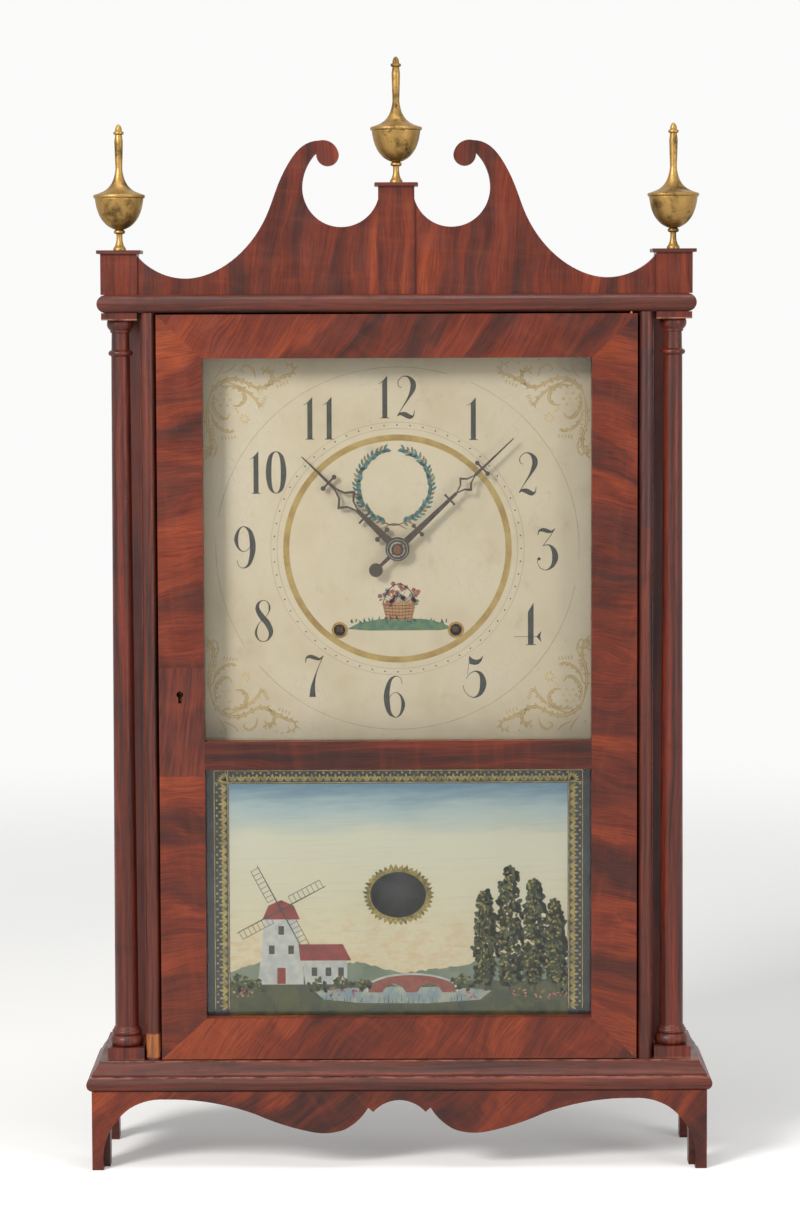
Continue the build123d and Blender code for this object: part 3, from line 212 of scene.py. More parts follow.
def veneer(name, grain, seed, band=0.020, lift=0.0, flame=1.0, patches=()):
    """Flame mahogany under old shellac; grain is the direction of its fibres from level, in degrees."""
    f = Finish(name)
    bend = f.noise(f.place((0.11, 0.11, 0.05), grain, seed), 2.0) - 0.5
    wisp = f.noise(f.place((0.035, 0.03, 0.012), grain, seed + 3.1), 2.0) - 0.5
    across = f.pushed(
        f.place((0.24, 0.09, band), grain, seed + 1.7), bend * (3.4 * flame) + wisp * (0.8 * flame)
    )
    bands = f.noise(across, 4.0, 0.58) + lift
    colour = f.ramp(
        bands,
        (0.30, DARK_MAHOGANY),
        (0.43, DEEP_MAHOGANY),
        (0.55, RED_MAHOGANY),
        (0.72, ORANGE_MAHOGANY),
    )
    fibres = f.noise(f.pushed(f.place((0.030, 0.006, 0.001), grain, seed + 5.3), bend * 30.0), 3.0, 0.62)
    colour = f.tint(colour, f.step(fibres, 0.40, 0.68) * 0.55, linear(150, 110, 100))
    mottle = f.noise(f.place((0.006, 0.02, 0.045), grain, seed + 7.7), 2.0)
    colour = f.mix(f.step(mottle, 0.50, 0.75) * 0.07, colour, linear(170, 76, 38))
    pores = f.noise(f.pushed(f.place((0.0042, 0.001, 0.00022), grain, seed + 9.2), bend * 60.0), 1.0)
    colour = f.mix(f.step(pores, 0.63, 0.74) * 0.55, colour, linear(40, 14, 11))
    dirt = f.noise(f.place((0.05, 0.05, 0.05), 0.0, seed + 11.0), 4.0, 0.6)
    colour = f.tint(colour, f.step(dirt, 0.52, 0.78) * 0.35, linear(120, 90, 84))
    for patch in patches:
        colour = patch(f, colour)
    wear = f.noise(f.place((0.018, 0.018, 0.018), 0.0, seed + 13.0), 4.0, 0.65)
    height = f.noise(
        f.place((0.05, 0.05, 0.03), grain, seed + 15.0), 2.0
    ) * 3.0 - pores * 0.25 + fibres * 0.12
    return f.coated(
        Base_Color=colour,
        Roughness=f.step(wear, 0.3, 0.75) * 0.22 + VENEER_ROUGHNESS,
        Specular_IOR_Level=SHELLAC_SPECULAR,
        Coat_Weight=0.06,
        Coat_Roughness=0.22,
        Normal=f.bump(height, 0.00012, 0.8),
    )


def moulding_wood(name, grain, seed, patches=(), tone=(84, 36, 24)):
    """Plain-sawn mahogany for mouldings and turnings: darker, browner and straighter in the grain."""
    f = Finish(name)
    bend = f.noise(f.place((0.20, 0.06, 0.06), grain, seed), 2.0) - 0.5
    lines = f.noise(f.pushed(f.place((0.16, 0.02, 0.0032), grain, seed + 2.0), bend * 6.0), 4.0, 0.6)
    dark = tuple(c * 0.52 for c in tone)
    light = (tone[0] * 1.36, tone[1] * 1.30, tone[2] * 1.14)
    colour = f.ramp(lines, (0.32, linear(*dark)), (0.52, linear(*tone)), (0.74, linear(*light)))
    fibres = f.noise(f.pushed(f.place((0.022, 0.003, 0.0007), grain, seed + 4.0), bend * 20.0), 2.0, 0.6)
    colour = f.tint(colour, f.step(fibres, 0.45, 0.7) * 0.5, linear(140, 108, 100))
    dirt = f.noise(f.place((0.03, 0.03, 0.03), 0.0, seed + 6.0), 4.0, 0.65)
    colour = f.tint(colour, f.step(dirt, 0.5, 0.8) * 0.5, linear(96, 76, 72))
    for patch in patches:
        colour = patch(f, colour)
    return f.coated(
        Base_Color=colour,
        Roughness=f.step(dirt, 0.3, 0.8) * 0.24 + MOULDING_ROUGHNESS,
        Specular_IOR_Level=SHELLAC_SPECULAR,
        Coat_Weight=0.08,
        Coat_Roughness=0.25,
        Normal=f.bump(fibres * 0.5 + dirt, 0.00010, 0.8),
    )


def highlight_and_wear_edge(height, tone, spread=0.5):
    """A patch that lightens an edge at this height, broken up along its length: a painted highlight along the
    edge, with rubbed wear.
    """

    def patch(f, colour):
        z = f.axes()[2]
        broken = f.step(f.noise(f.place((0.012, 0.012, 0.002), 0.0, height), 3.0, 0.7), 0.38, 0.62)
        # Painted highlight and wear on the edge band.
        return f.mix(
            f.window(z, height - spread, height + spread, 0.25) * broken * 0.75, colour, linear(*tone)
        )

    return patch


def stretch(tone, share, x_range=None, z_range=None, soft=0.8, seed=0.0):
    """A patch of another tone over part of the piece, such as a repair."""

    def patch(f, colour):
        x, _, z = f.axes()
        ragged = (f.noise(f.place((0.004, 0.004, 0.004), 0.0, seed), 3.0, 0.6) - 0.5) * (3.0 * soft)
        mask = share
        if x_range:
            mask = f.window(x + ragged, *x_range, soft) * mask
        if z_range:
            mask = f.window(z + ragged, *z_range, soft) * mask
        lines = f.noise(f.place((0.03, 0.02, 0.0022), 84.0, seed + 1.0), 3.0, 0.6)
        darker = tuple(0.55 * c for c in tone)
        return f.mix(mask, colour, f.ramp(lines, (0.35, linear(*darker)), (0.65, linear(*tone))))

    return patch


def stained_face(f, colour):
    """The backboard's front beside the stiles, stained to match the case."""
    x, y, _ = f.axes()
    outer = f.greatest(f.step(x, 166.0, 168.0), 1.0 - f.step(x, -168.0, -166.0))
    lines = f.noise(f.place((0.006, 0.02, 0.10), 0.0, 21.0), 3.0, 0.6)
    stain = f.ramp(lines, (0.35, linear(44, 17, 13)), (0.65, linear(84, 33, 23)))
    return f.mix(outer * (1.0 - f.step(y, 50.0, 52.0)), colour, stain)


def plain_wood(name, tone, grain, seed, rough=0.62, line=0.004, patches=()):
    """Bare or oiled wood for the back, the inside and the movement."""
    f = Finish(name)
    bend = f.noise(f.place((0.22, 0.08, 0.08), grain, seed), 2.0) - 0.5
    rings = f.noise(f.pushed(f.place((0.30, line * 4, line), grain, seed + 2.0), bend * 5.0), 4.0, 0.62)
    dark = tuple(c * 0.6 for c in tone)
    light = tuple(min(255.0, c * 1.14) for c in tone)
    colour = f.ramp(rings, (0.30, linear(*dark)), (0.52, linear(*tone)), (0.75, linear(*light)))
    grime = f.noise(f.place((0.04, 0.04, 0.04), 0.0, seed + 4.0), 5.0, 0.65)
    colour = f.tint(colour, f.step(grime, 0.45, 0.8) * 0.6, linear(128, 112, 98))
    for patch in patches:
        colour = patch(f, colour)
    return f.coated(
        Base_Color=colour,
        Roughness=f.step(grime, 0.3, 0.8) * 0.2 + rough,
        Normal=f.bump(rings + grime * 0.6, 0.00025, 0.8),
    )


def aged_brass(name, tone=(168, 132, 74), tarnish=(84, 66, 36), seed=0.0, rough=0.34, cover=0.5):
    """Old brass, brighter where hands rub it and brown in the hollows."""
    f = Finish(name)
    cloud = f.noise(f.place((0.011, 0.011, 0.014), 0.0, seed), 5.0, 0.62)
    spots = f.noise(f.place((0.0032, 0.0032, 0.0032), 0.0, seed + 2.0), 3.0, 0.6)
    colour = f.mix(f.step(cloud, 0.62 - cover * 0.3, 0.86 - cover * 0.3), linear(*tone), linear(*tarnish))
    colour = f.mix(f.step(spots, 0.60, 0.72) * 0.75, colour, linear(58, 44, 28))
    scratches = f.noise(f.place((0.010, 0.010, 0.0004), 0.0, seed + 4.0), 2.0, 0.7)
    return f.coated(
        Base_Color=colour,
        Metallic=1.0,
        Roughness=f.step(cloud, 0.35, 0.75) * 0.26 + f.step(spots, 0.5, 0.75) * 0.15 + rough,
        Normal=f.bump(scratches * 0.4 + spots, 0.00006, 0.7),
    )


def dark_metal(name, tone, rust, seed, metal=0.85, rough=0.42, grain=0.004):
    """Iron, steel or lead with a skin of oxide."""
    f = Finish(name)
    cloud = f.noise(f.place((grain * 3, grain * 3, grain * 3), 0.0, seed), 5.0, 0.65)
    specks = f.noise(f.place((grain * 0.4, grain * 0.4, grain * 0.4), 0.0, seed + 3.0), 3.0, 0.6)
    colour = f.mix(f.step(cloud, 0.48, 0.74), linear(*tone), linear(*rust))
    colour = f.tint(colour, f.step(specks, 0.5, 0.7) * 0.5, linear(120, 110, 104))
    return f.coated(
        Base_Color=colour,
        Metallic=metal,
        Roughness=f.step(cloud, 0.3, 0.8) * 0.25 + rough,
        Normal=f.bump(cloud + specks * 0.4, 0.00015, 0.7),
    )


def dial_paint():
    """Cream oil paint on a board, yellowed and rubbed, with a painted shadow of the door frame darkening its
    left and upper edges.
    """
    f = Finish("dial_cream")
    x, _, z = f.axes()
    cloud = f.noise(f.place((0.060, 0.060, 0.060), 0.0, 4.0), 4.0, 0.6)
    colour = f.ramp(
        cloud, (0.30, linear(218, 200, 168)), (0.50, linear(230, 214, 186)), (0.72, linear(236, 222, 197))
    )
    stain = f.noise(f.place((0.018, 0.018, 0.026), 0.0, 8.0), 5.0, 0.66)
    colour = f.tint(colour, f.step(stain, 0.56, 0.80) * 0.30, linear(196, 178, 160))
    specks = f.noise(f.place((0.0020, 0.0020, 0.0020), 0.0, 12.0), 2.0, 0.5)
    colour = f.mix(f.step(specks, 0.73, 0.80) * 0.45, colour, linear(120, 100, 80))
    # Painted shadow: the door frame's shade along the dial's left and upper edges.
    frame_shadow = f.greatest(1.0 - f.step(x, -139.0, -126.0), f.step(z, 563.0, 579.0))
    colour = f.tint(colour, frame_shadow * 0.30, linear(196, 176, 142))
    crazing = f.node(
        "TexVoronoi",
        {"feature": "DISTANCE_TO_EDGE"},
        {"Vector": f.place((0.0075, 0.0075, 0.0075), 0.0, 2.0), "Scale": 1.0},
    )
    cracks = 1.0 - f.step(crazing, 0.0, 0.035)
    colour = f.mix(cracks * f.step(cloud, 0.48, 0.62) * 0.16, colour, linear(150, 130, 104))
    strokes = f.noise(f.place((0.05, 0.01, 0.0012), 0.0, 6.0), 3.0, 0.6)
    return f.coated(
        Base_Color=colour,
        Roughness=f.step(stain, 0.3, 0.8) * 0.15 + 0.42,
        Normal=f.bump(strokes * 0.5 + cloud - cracks * 0.4, 0.00008, 0.6),
    )


def paint(name, tone, seed=0.0, rough=0.45, scale=0.004, other=None, metal=0.0):
    """Brushed paint that is thin in places; with other, it wanders between two tones."""
    f = Finish(name)
    cloud = f.noise(f.place((scale, scale, scale), 0.0, seed), 4.0, 0.65)
    second = other or tuple(c * 0.7 for c in tone)
    colour = f.mix(f.step(cloud, 0.36, 0.66), linear(*tone), linear(*second))
    return f.coated(
        Base_Color=colour,
        Metallic=metal,
        Roughness=f.step(cloud, 0.3, 0.8) * 0.2 + rough,
        Normal=f.bump(cloud, 0.00006, 0.6),
    )


def old_glass(name):
    """Thin old sheet glass: clear, faintly wavy, with a sheen that grows towards grazing."""
    f = Finish(name)
    wave = f.noise(f.place((0.09, 0.09, 0.05), 0.0, 3.0), 2.0)
    dust = f.noise(f.place((0.05, 0.05, 0.05), 0.0, 9.0), 5.0, 0.7)
    normal = f.bump(wave, 0.00006, 1.0)
    gloss = f.node(
        "BsdfPrincipled",
        (),
        {
            "Base Color": f.mix(f.step(dust, 0.4, 0.8), linear(236, 240, 238), linear(214, 212, 200)),
            "Metallic": 1.0,
            "Roughness": f.step(dust, 0.4, 0.85) * 0.10 + 0.03,
            "Normal": normal,
        },
    )
    clear = f.node("BsdfTransparent", (), {"Color": (0.985, 0.99, 0.985)})
    edge_on = f.node("Fresnel", (), {"IOR": 1.45, "Normal": normal})
    share = edge_on * 0.85 + f.step(dust, 0.55, 0.85) * 0.012
    f.finish_with(f.node("MixShader", (), {0: share, 1: clear, 2: gloss}))
    return f.material


def sky_paint():
    """The tablet's sky: blue at the top, cream below it, and peach clouds over the horizon."""
    f = Finish("tablet_sky")
    z = f.axes()[2]
    drift = f.noise(f.place((0.060, 0.02, 0.009), 4.0, 2.0), 4.0, 0.62)
    height = f.step(z + (drift - 0.5) * 26.0, 128.0, 284.0)
    colour = f.ramp(
        height,
        (0.05, linear(230, 212, 172)),
        (0.30, linear(230, 221, 192)),
        (0.78, linear(226, 222, 200)),
        (0.92, linear(184, 202, 204)),
        (0.985, linear(116, 150, 172)),
    )
    puffs = f.noise(f.place((0.013, 0.013, 0.006), 0.0, 5.0), 5.0, 0.7)
    low = 1.0 - f.step(z, 150.0, 205.0)
    colour = f.mix(f.step(puffs, 0.50, 0.62) * low * 0.40, colour, linear(228, 184, 150))
    colour = f.mix(
        f.step(puffs, 0.36, 0.44) * (1.0 - f.step(puffs, 0.44, 0.52)) * low * 0.6,
        colour,
        linear(236, 226, 200),
    )
    streaks = f.noise(f.place((0.05, 0.01, 0.0016), 2.0, 8.0), 3.0, 0.6)
    colour = f.tint(colour, f.step(streaks, 0.5, 0.8) * 0.25, linear(206, 214, 216))
    return f.coated(
        Base_Color=colour,
        Roughness=f.step(streaks, 0.3, 0.8) * 0.1 + 0.4,
        Normal=f.bump(streaks, 0.00005, 0.6),
    )


def cord_fibre():
    """Twisted cord: dark and light turns that climb round it."""
    f = Finish("cord_twist")
    twist = f.node(
        "TexWave",
        {"wave_type": "BANDS", "bands_direction": "DIAGONAL"},
        {"Vector": f.place((0.0022, 0.0022, 0.0022), 0.0, 0.0), "Scale": 1.0, "Distortion": 0.6},
        out=1,
    )
    fuzz = f.noise(f.place((0.0006, 0.0006, 0.0012), 0.0, 1.0), 2.0, 0.6)
    colour = f.mix(f.step(twist, 0.25, 0.75), linear(96, 74, 48), linear(158, 130, 92))
    colour = f.tint(colour, f.step(fuzz, 0.4, 0.7) * 0.5, linear(150, 132, 110))
    return f.coated(Base_Color=colour, Roughness=0.85, Normal=f.bump(twist + fuzz * 0.5, 0.0003, 0.9))


# Meshes


def made(name, points, faces, body, finish, slot, sharp=32.0, stands_for=()):
    """A finished piece from points in millimetres: smooth but for its sharp edges, riding on a body."""
    mesh = bpy.data.meshes.new(name)
    mesh.from_pydata([Vector(p) * MM for p in points], [], faces)
    work = bmesh.new()
    work.from_mesh(mesh)
    bmesh.ops.remove_doubles(work, verts=work.verts, dist=1e-7)
    bmesh.ops.recalc_face_normals(work, faces=work.faces)
    for face in work.faces:
        face.smooth = True
    for edge in work.edges:
        edge.smooth = len(edge.link_faces) == 2 and edge.calc_face_angle() < math.radians(sharp)
    work.to_mesh(mesh)
    work.free()
    piece = bpy.data.objects.new(name, mesh)
    bpy.context.scene.collection.objects.link(piece)
    mesh.materials.append(finish)
    if stands_for:
        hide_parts(*stands_for)
    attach(piece, body)
    return piece


def smooth_line(points, steps=6, closed=False):
    """Points on a smooth line through control points of any number of values each."""
    count = len(points)
    line = []
    spans = count if closed else count - 1
    for i in range(spans):
        if closed:
            four = [points[(i + k - 1) % count] for k in range(4)]
        else:
            four = [points[min(max(i + k - 1, 0), count - 1)] for k in range(4)]
        for s in range(steps):
            t = s / steps
            line.append(
                tuple(
                    0.5 * (
                        2 * b + (c - a) * t + (2 * a - 5 * b + 4 * c - d) * t**2 + (
                            3 * b - a - 3 * c + d
                        ) * t**3
                    )
                    for a, b, c, d in zip(*four)
                )
            )
    if not closed:
        line.append(tuple(points[-1]))
    return line


def turned_profile(*runs, steps=6):
    """A lathe profile from runs of (radius, height): each run is smooth, and runs meet at corners."""
    profile = []
    for run in runs:
        profile.extend(smooth_line(run, steps) if len(run) > 2 else run)
    return profile


def lathe(profile, centre, sides):
    """Points and faces of an upright turned form, whose profile starts and ends on its axis."""
    points, faces = [], []
    for radius, height in profile:
        for k in range(sides):
            a = 2 * math.pi * k / sides
            u, v = radius * math.cos(a), radius * math.sin(a)
            points.append((centre[0] + u, centre[1] + v, centre[2] + height))
    for ring in range(len(profile) - 1):
        for k in range(sides):
            n = (k + 1) % sides
            a, b, c, d = (ring * sides + k, ring * sides + n, (ring + 1) * sides + n, (ring + 1) * sides + k)
            if profile[ring][0] == 0:
                faces.append((a, c, d))
            elif profile[ring + 1][0] == 0:
                faces.append((a, b, d))
            else:
                faces.append((a, b, c, d))
    return points, faces


def joined(*forms):
    """Several sets of points and faces as one."""
    points, faces = [], []
    for form_points, form_faces in forms:
        start = len(points)
        points.extend(form_points)
        faces.extend(tuple(start + i for i in face) for face in form_faces)
    return points, faces


def slab(outline, front, back):
    """A flat closed form from an outline of (x, z), between two depths."""
    count = len(outline)
    points = [(x, front, z) for x, z in outline] + [(x, back, z) for x, z in outline]
    faces = [tuple(range(count)), tuple(range(2 * count - 1, count - 1, -1))]
    for k in range(count):
        n = (k + 1) % count
        faces.append((k, count + k, count + n, n))
    return points, faces


def band_slab(outer, inner, front, back):
    """A flat closed form between two outlines with as many points each."""
    count = len(outer)
    points = [(x, y, z) for y in (front, back) for ring in (outer, inner) for x, z in ring]
    faces = []
    for k in range(count):
        n = (k + 1) % count
        a, b, c, d = (0, count, 2 * count, 3 * count)
        faces.append((a + k, a + n, b + n, b + k))
        faces.append((c + k, d + k, d + n, c + n))
        faces.append((a + k, c + k, c + n, a + n))
        faces.append((b + k, b + n, d + n, d + k))
    return points, faces


def brush(points, front, back, steps=6, closed=False):
    """A painted stroke through (x, z, width), as a thin closed form."""
    line = smooth_line(points, steps, closed)
    count = len(line)
    sides = ([], [])
    for i, (x, z, width) in enumerate(line):
        before = line[(i - 1) % count] if closed else line[max(i - 1, 0)]
        after = line[(i + 1) % count] if closed else line[min(i + 1, count - 1)]
        run = Vector((after[0] - before[0], after[1] - before[1]))
        run = run.normalized() if run.length else Vector((1.0, 0.0))
        half = max(width, 0.04) / 2
        sides[0].append((x - run.y * half, z + run.x * half))
        sides[1].append((x + run.y * half, z - run.x * half))
    if closed:
        return band_slab(sides[0], sides[1], front, back)
    points, faces = [], []
    for y in (front, back):
        for side in sides:
            points.extend((x, y, z) for x, z in side)
    a, b, c, d = (0, count, 2 * count, 3 * count)
    for k in range(count - 1):
        n = k + 1
        faces.append((a + k, a + n, b + n, b + k))
        faces.append((c + k, d + k, d + n, c + n))
        faces.append((a + k, c + k, c + n, a + n))
        faces.append((b + k, b + n, d + n, d + k))
    faces.append((a, b, d, c))
    faces.append((a + count - 1, c + count - 1, d + count - 1, b + count - 1))
    return points, faces


def disc(x, z, radius, front, back, sides=16, squash=1.0, turn=0.0):
    """A small painted dot or dab."""
    cos_t, sin_t = math.cos(turn), math.sin(turn)
    outline = []
    for k in range(sides):
        a = 2 * math.pi * k / sides
        u, v = radius * math.cos(a), radius * squash * math.sin(a)
        outline.append((x + u * cos_t - v * sin_t, z + u * sin_t + v * cos_t))
    return slab(outline, front, back)


def leaf(x, z, length, width, turn, front, back):
    """A pointed leaf whose foot is at (x, z)."""
    cos_t, sin_t = math.cos(turn), math.sin(turn)
    shape = [
        (0, 0), (0.25, 0.40), (0.55, 0.5), (0.82, 0.28), (1, 0), (0.82, -0.28), (0.55, -0.5), (0.25, -0.40)
    ]
    outline = []
    for u, v in shape:
        u, v = u * length, v * width
        outline.append((x + u * cos_t - v * sin_t, z + u * sin_t + v * cos_t))
    return slab(outline, front, back)


def painted(name, forms, body, finish, slot):
    """One piece from many painted strokes, dots and leaves."""
    points, faces = joined(*forms)
    return made(name, points, faces, body, finish, slot, sharp=20.0)


# Places that several pieces share, in millimetres

dial_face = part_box("dial_board")[0].y / MM
dial_centre = 441.0
pane_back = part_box("tablet_glass")[1].y / MM

# Wood of the case

lock_patch = stretch(
    (104, 44, 30), 0.85, x_range=(-170.0, -137.2), z_range=(281.8, 359.0), soft=0.35, seed=2.0
)
low_chip = stretch((196, 138, 92), 0.8, x_range=(158.0, 166.0), z_range=(77.0, 82.5), soft=0.9, seed=4.0)
high_chip = stretch((150, 92, 58), 0.6, x_range=(150.0, 164.0), z_range=(606.0, 609.5), soft=0.6, seed=6.0)
bare_end = stretch((190, 112, 62), 0.9, x_range=(-182.0, -168.0), z_range=(80.0, 97.0), soft=0.7, seed=8.0)
right_repair = stretch((72, 38, 36), 0.75, x_range=(168.0, 182.0), z_range=(457.0, 583.0), soft=0.9, seed=9.0)

wood_finishes = {
    "front_apron": veneer("apron_veneer", 38.0, 1.0, band=0.026, lift=-0.02),
    "side_aprons": veneer("side_apron_veneer", 0.0, 2.3, band=0.018, lift=-0.05),
    "scroll_crest": veneer("crest_veneer", 86.0, 3.1, band=0.016, lift=-0.01, flame=0.7),
    "plinths": veneer("plinth_veneer", 90.0, 4.7, band=0.014, lift=-0.02, flame=0.5),
    "door_stile_lock": veneer("lock_stile_veneer", 6.0, 5.9, band=0.024, lift=0.0, patches=(lock_patch,)),
    "door_stile_hinge": veneer(
        "hinge_stile_veneer", -8.0, 7.3, band=0.026, lift=0.01, patches=(low_chip, high_chip)
    ),
    "door_rail_top": veneer("top_rail_veneer", 62.0, 8.1, band=0.030, lift=-0.02),
    "door_rail_middle": veneer("middle_rail_veneer", 2.0, 9.7, band=0.010, lift=-0.10, flame=0.5),
    "door_rail_bottom": veneer("bottom_rail_veneer", 56.0, 10.9, band=0.028, lift=0.03),
    "case_sides": veneer("case_side_veneer", 90.0, 12.1, band=0.020, lift=-0.06, flame=0.6),
    # The light edge bands on the base moulding and on the columns below are painted highlights with some
    # wear.
    "base_moulding": moulding_wood(
        "base_moulding_wood",
        0.0,
        1.5,
        patches=(highlight_and_wear_edge(77.4, (150, 96, 74)), highlight_and_wear_edge(66.8, (150, 92, 76))),
    ),
    "base_board": moulding_wood("deck_wood", 0.0, 2.5),
    "cornice_board": moulding_wood("cornice_wood", 0.0, 3.5),
    "plinth_caps": moulding_wood("cap_wood", 0.0, 4.5),
    "stiles": moulding_wood("stile_wood", 90.0, 5.5, patches=(bare_end, right_repair)),
    "columns": moulding_wood(
        "column_wood",
        90.0,
        6.5,
        tone=(88, 34, 22),
        patches=(highlight_and_wear_edge(604.2, (170, 116, 92), 0.7), highlight_and_wear_edge(78.8, (140, 90, 72), 0.6)),
    ),
    "backboard": plain_wood("backboard_pine", (126, 92, 60), 90.0, 1.0, line=0.009, patches=(stained_face,)),
    "movement_rails": plain_wood("rail_pine", (134, 100, 66), 90.0, 2.0),
    "dial_cleats": plain_wood("cleat_pine", (130, 98, 66), 90.0, 3.0),
    "pulley_blocks": plain_wood("block_pine", (122, 90, 60), 90.0, 4.0),
    "front_plate": plain_wood("front_plate_oak", (138, 102, 64), 90.0, 5.0, line=0.003),
    "back_plate": plain_wood("back_plate_oak", (132, 98, 60), 90.0, 6.0, line=0.003),
    "plate_pillars": plain_wood("pillar_oak", (128, 92, 58), 0.0, 7.0, line=0.003),
}
cherry = plain_wood("wheel_cherry", (150, 92, 54), 90.0, 8.0, line=0.0022, rough=0.5)
laurel = plain_wood("arbor_laurel", (168, 124, 80), 90.0, 9.0, line=0.0018, rough=0.5)
for node in (
    "time_great_wheel", "centre_wheel", "third_wheel", "minute_wheel", "hour_wheel",
    "strike_great_wheel", "pin_wheel", "fly", "count_wheel",
):
    wood_finishes[node] = cherry
for node in ("time_drum", "strike_drum", "time_pulley", "strike_pulley"):
    wood_finishes[node] = laurel

brass = aged_brass("brass_fittings", seed=1.0)
blued = dark_metal("hands_worn_steel", (84, 72, 64), (64, 50, 46), 1.0, metal=0.55, rough=0.46, grain=0.003)
iron = dark_metal("cast_iron_weights", (58, 55, 52), (92, 66, 48), 2.0, metal=0.6, rough=0.55)
wire = dark_metal("drawn_wire", (128, 124, 118), (96, 84, 70), 3.0, metal=0.9, rough=0.34, grain=0.002)
lead = dark_metal("bob_lead", (70, 70, 72), (48, 46, 46), 4.0, metal=0.6, rough=0.45)
cast_bell = aged_brass("bell_bronze", (150, 128, 88), (96, 84, 60), 5.0, rough=0.4)
metal_finishes = {
    "winding_grommets": brass, "hinge_pins": brass, "lock_case": brass, "escape_wheel": brass,
    "wheel_studs": brass, "minute_hand": blued, "hour_hand": blued, "time_weight": iron,
    "strike_weight": iron, "bell_stand": iron, "lock_bolt": iron, "hammer": iron, "verge": wire,
    "pendulum_rod": wire, "pendulum_cock": wire, "pendulum_bob": lead, "bell": cast_bell,
}
glass = old_glass("old_pane_glass")
cord = cord_fibre()
other_finishes = {
    "dial_board": dial_paint(), "dial_glass": glass, "tablet_glass": glass,
    "cord_runs": cord, "time_cord": cord, "strike_cord": cord,
}

soft_edge_widths = {
    "front_apron": 0.6, "side_aprons": 0.6, "scroll_crest": 0.7, "plinths": 0.4, "plinth_caps": 0.3,
    "base_moulding": 0.3, "cornice_board": 0.3, "door_stile_lock": 0.5, "door_stile_hinge": 0.5,
    "door_rail_top": 0.5, "door_rail_middle": 0.5, "door_rail_bottom": 0.5, "case_sides": 0.4,
    "backboard": 0.5, "base_board": 0.4, "front_plate": 0.4, "back_plate": 0.4, "dial_board": 0.3,
}
for node, finish in (wood_finishes | metal_finishes | other_finishes).items():
    piece = nodes[node]
    piece.data.materials.clear()
    piece.data.materials.append(finish)
for node, width in soft_edge_widths.items():
    edges = nodes[node].modifiers.new("soft_edges", "BEVEL")
    edges.width = width * MM
    edges.segments = 2
    edges.limit_method = "ANGLE"
    edges.angle_limit = math.radians(40)

# Urn finials, turned finer than their solids

URN_RADIUS, URN_HEIGHT = 18.1, 88.0
urn_brass = aged_brass("finial_brass", (158, 126, 74), (88, 69, 40), 7.0, rough=0.42, cover=0.60)
urn = turned_profile(
    [(0, 0), (4.5, 0)],
    [(4.5, 0.9), (4.3, 1.7), (3.2, 3.4), (2.3, 6.4), (2.1, 9.2), (2.2, 11.5)],
    [(3.2, 11.7), (3.9, 12.3), (3.9, 13.6), (3.2, 14.3), (2.7, 14.6)],
    [(4.2, 14.9), (8.8, 17.6), (12.9, 22.4), (15.6, 28.6), (16.9, 35.0), (17.0, 36.4)],
    [(17.6, 36.6), (18.1, 37.2), (18.1, 38.4), (17.5, 39.0), (16.6, 39.2)],
    [(15.2, 39.7), (10.6, 41.6), (6.9, 44.6), (4.4, 48.6), (3.0, 53.2), (2.4, 57.0)],
    [(2.4, 57.0), (2.7, 66.0), (3.0, 76.0)],
    [(3.0, 76.0), (2.4, 80.6)],
    [(3.1, 80.9), (3.6, 81.4), (3.6, 82.6), (3.0, 83.1), (2.3, 83.3)],
    [(2.3, 83.5), (2.35, 84.6), (2.0, 86.0), (1.2, 87.3), (0.4, 87.9), (0, 88.0)],
)
finials_low, finials_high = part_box("finials")
column_x = finials_high.x / MM - URN_RADIUS
centre_cap_top = finials_high.z / MM - URN_HEIGHT
corner_cap_top = finials_low.z / MM
finial_y = finials_low.y / MM + URN_RADIUS
for name, x, y, z in (
    ("urn_left", -column_x, finial_y, corner_cap_top),
    ("urn_centre", 0.0, finial_y, centre_cap_top),
    ("urn_right", column_x, finial_y, corner_cap_top),
):
    made(name, *lathe(urn, (x, y, z), sides=72), "case", urn_brass, "brass", stands_for=("finials",))

# Plumb cords, which shorten towards their pulleys as the weights are wound up

# Plumb cords, each turned as a thin round form in place of its solid
for train in ("time", "strike"):
    cord_low, cord_high = (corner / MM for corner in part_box(f"{train}_cord"))
    middle = (cord_low + cord_high) / 2
    radius, length = (cord_high.x - cord_low.x) / 2, cord_high.z - cord_low.z
    outline = [(0, 0), (radius, 0), *((radius, length * k / 8) for k in range(1, 9)), (0, length)]
    plumb = made(
        f"{train}_plumb_cord",
        *lathe(outline, (middle.x, middle.y, cord_low.z), sides=20),
        "case",
        cord,
        "cord",
        stands_for=(f"{train}_cord",),
    )
    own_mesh(plumb)

# Numerals, each stroke as (x, z, width) in shares of the numeral's height

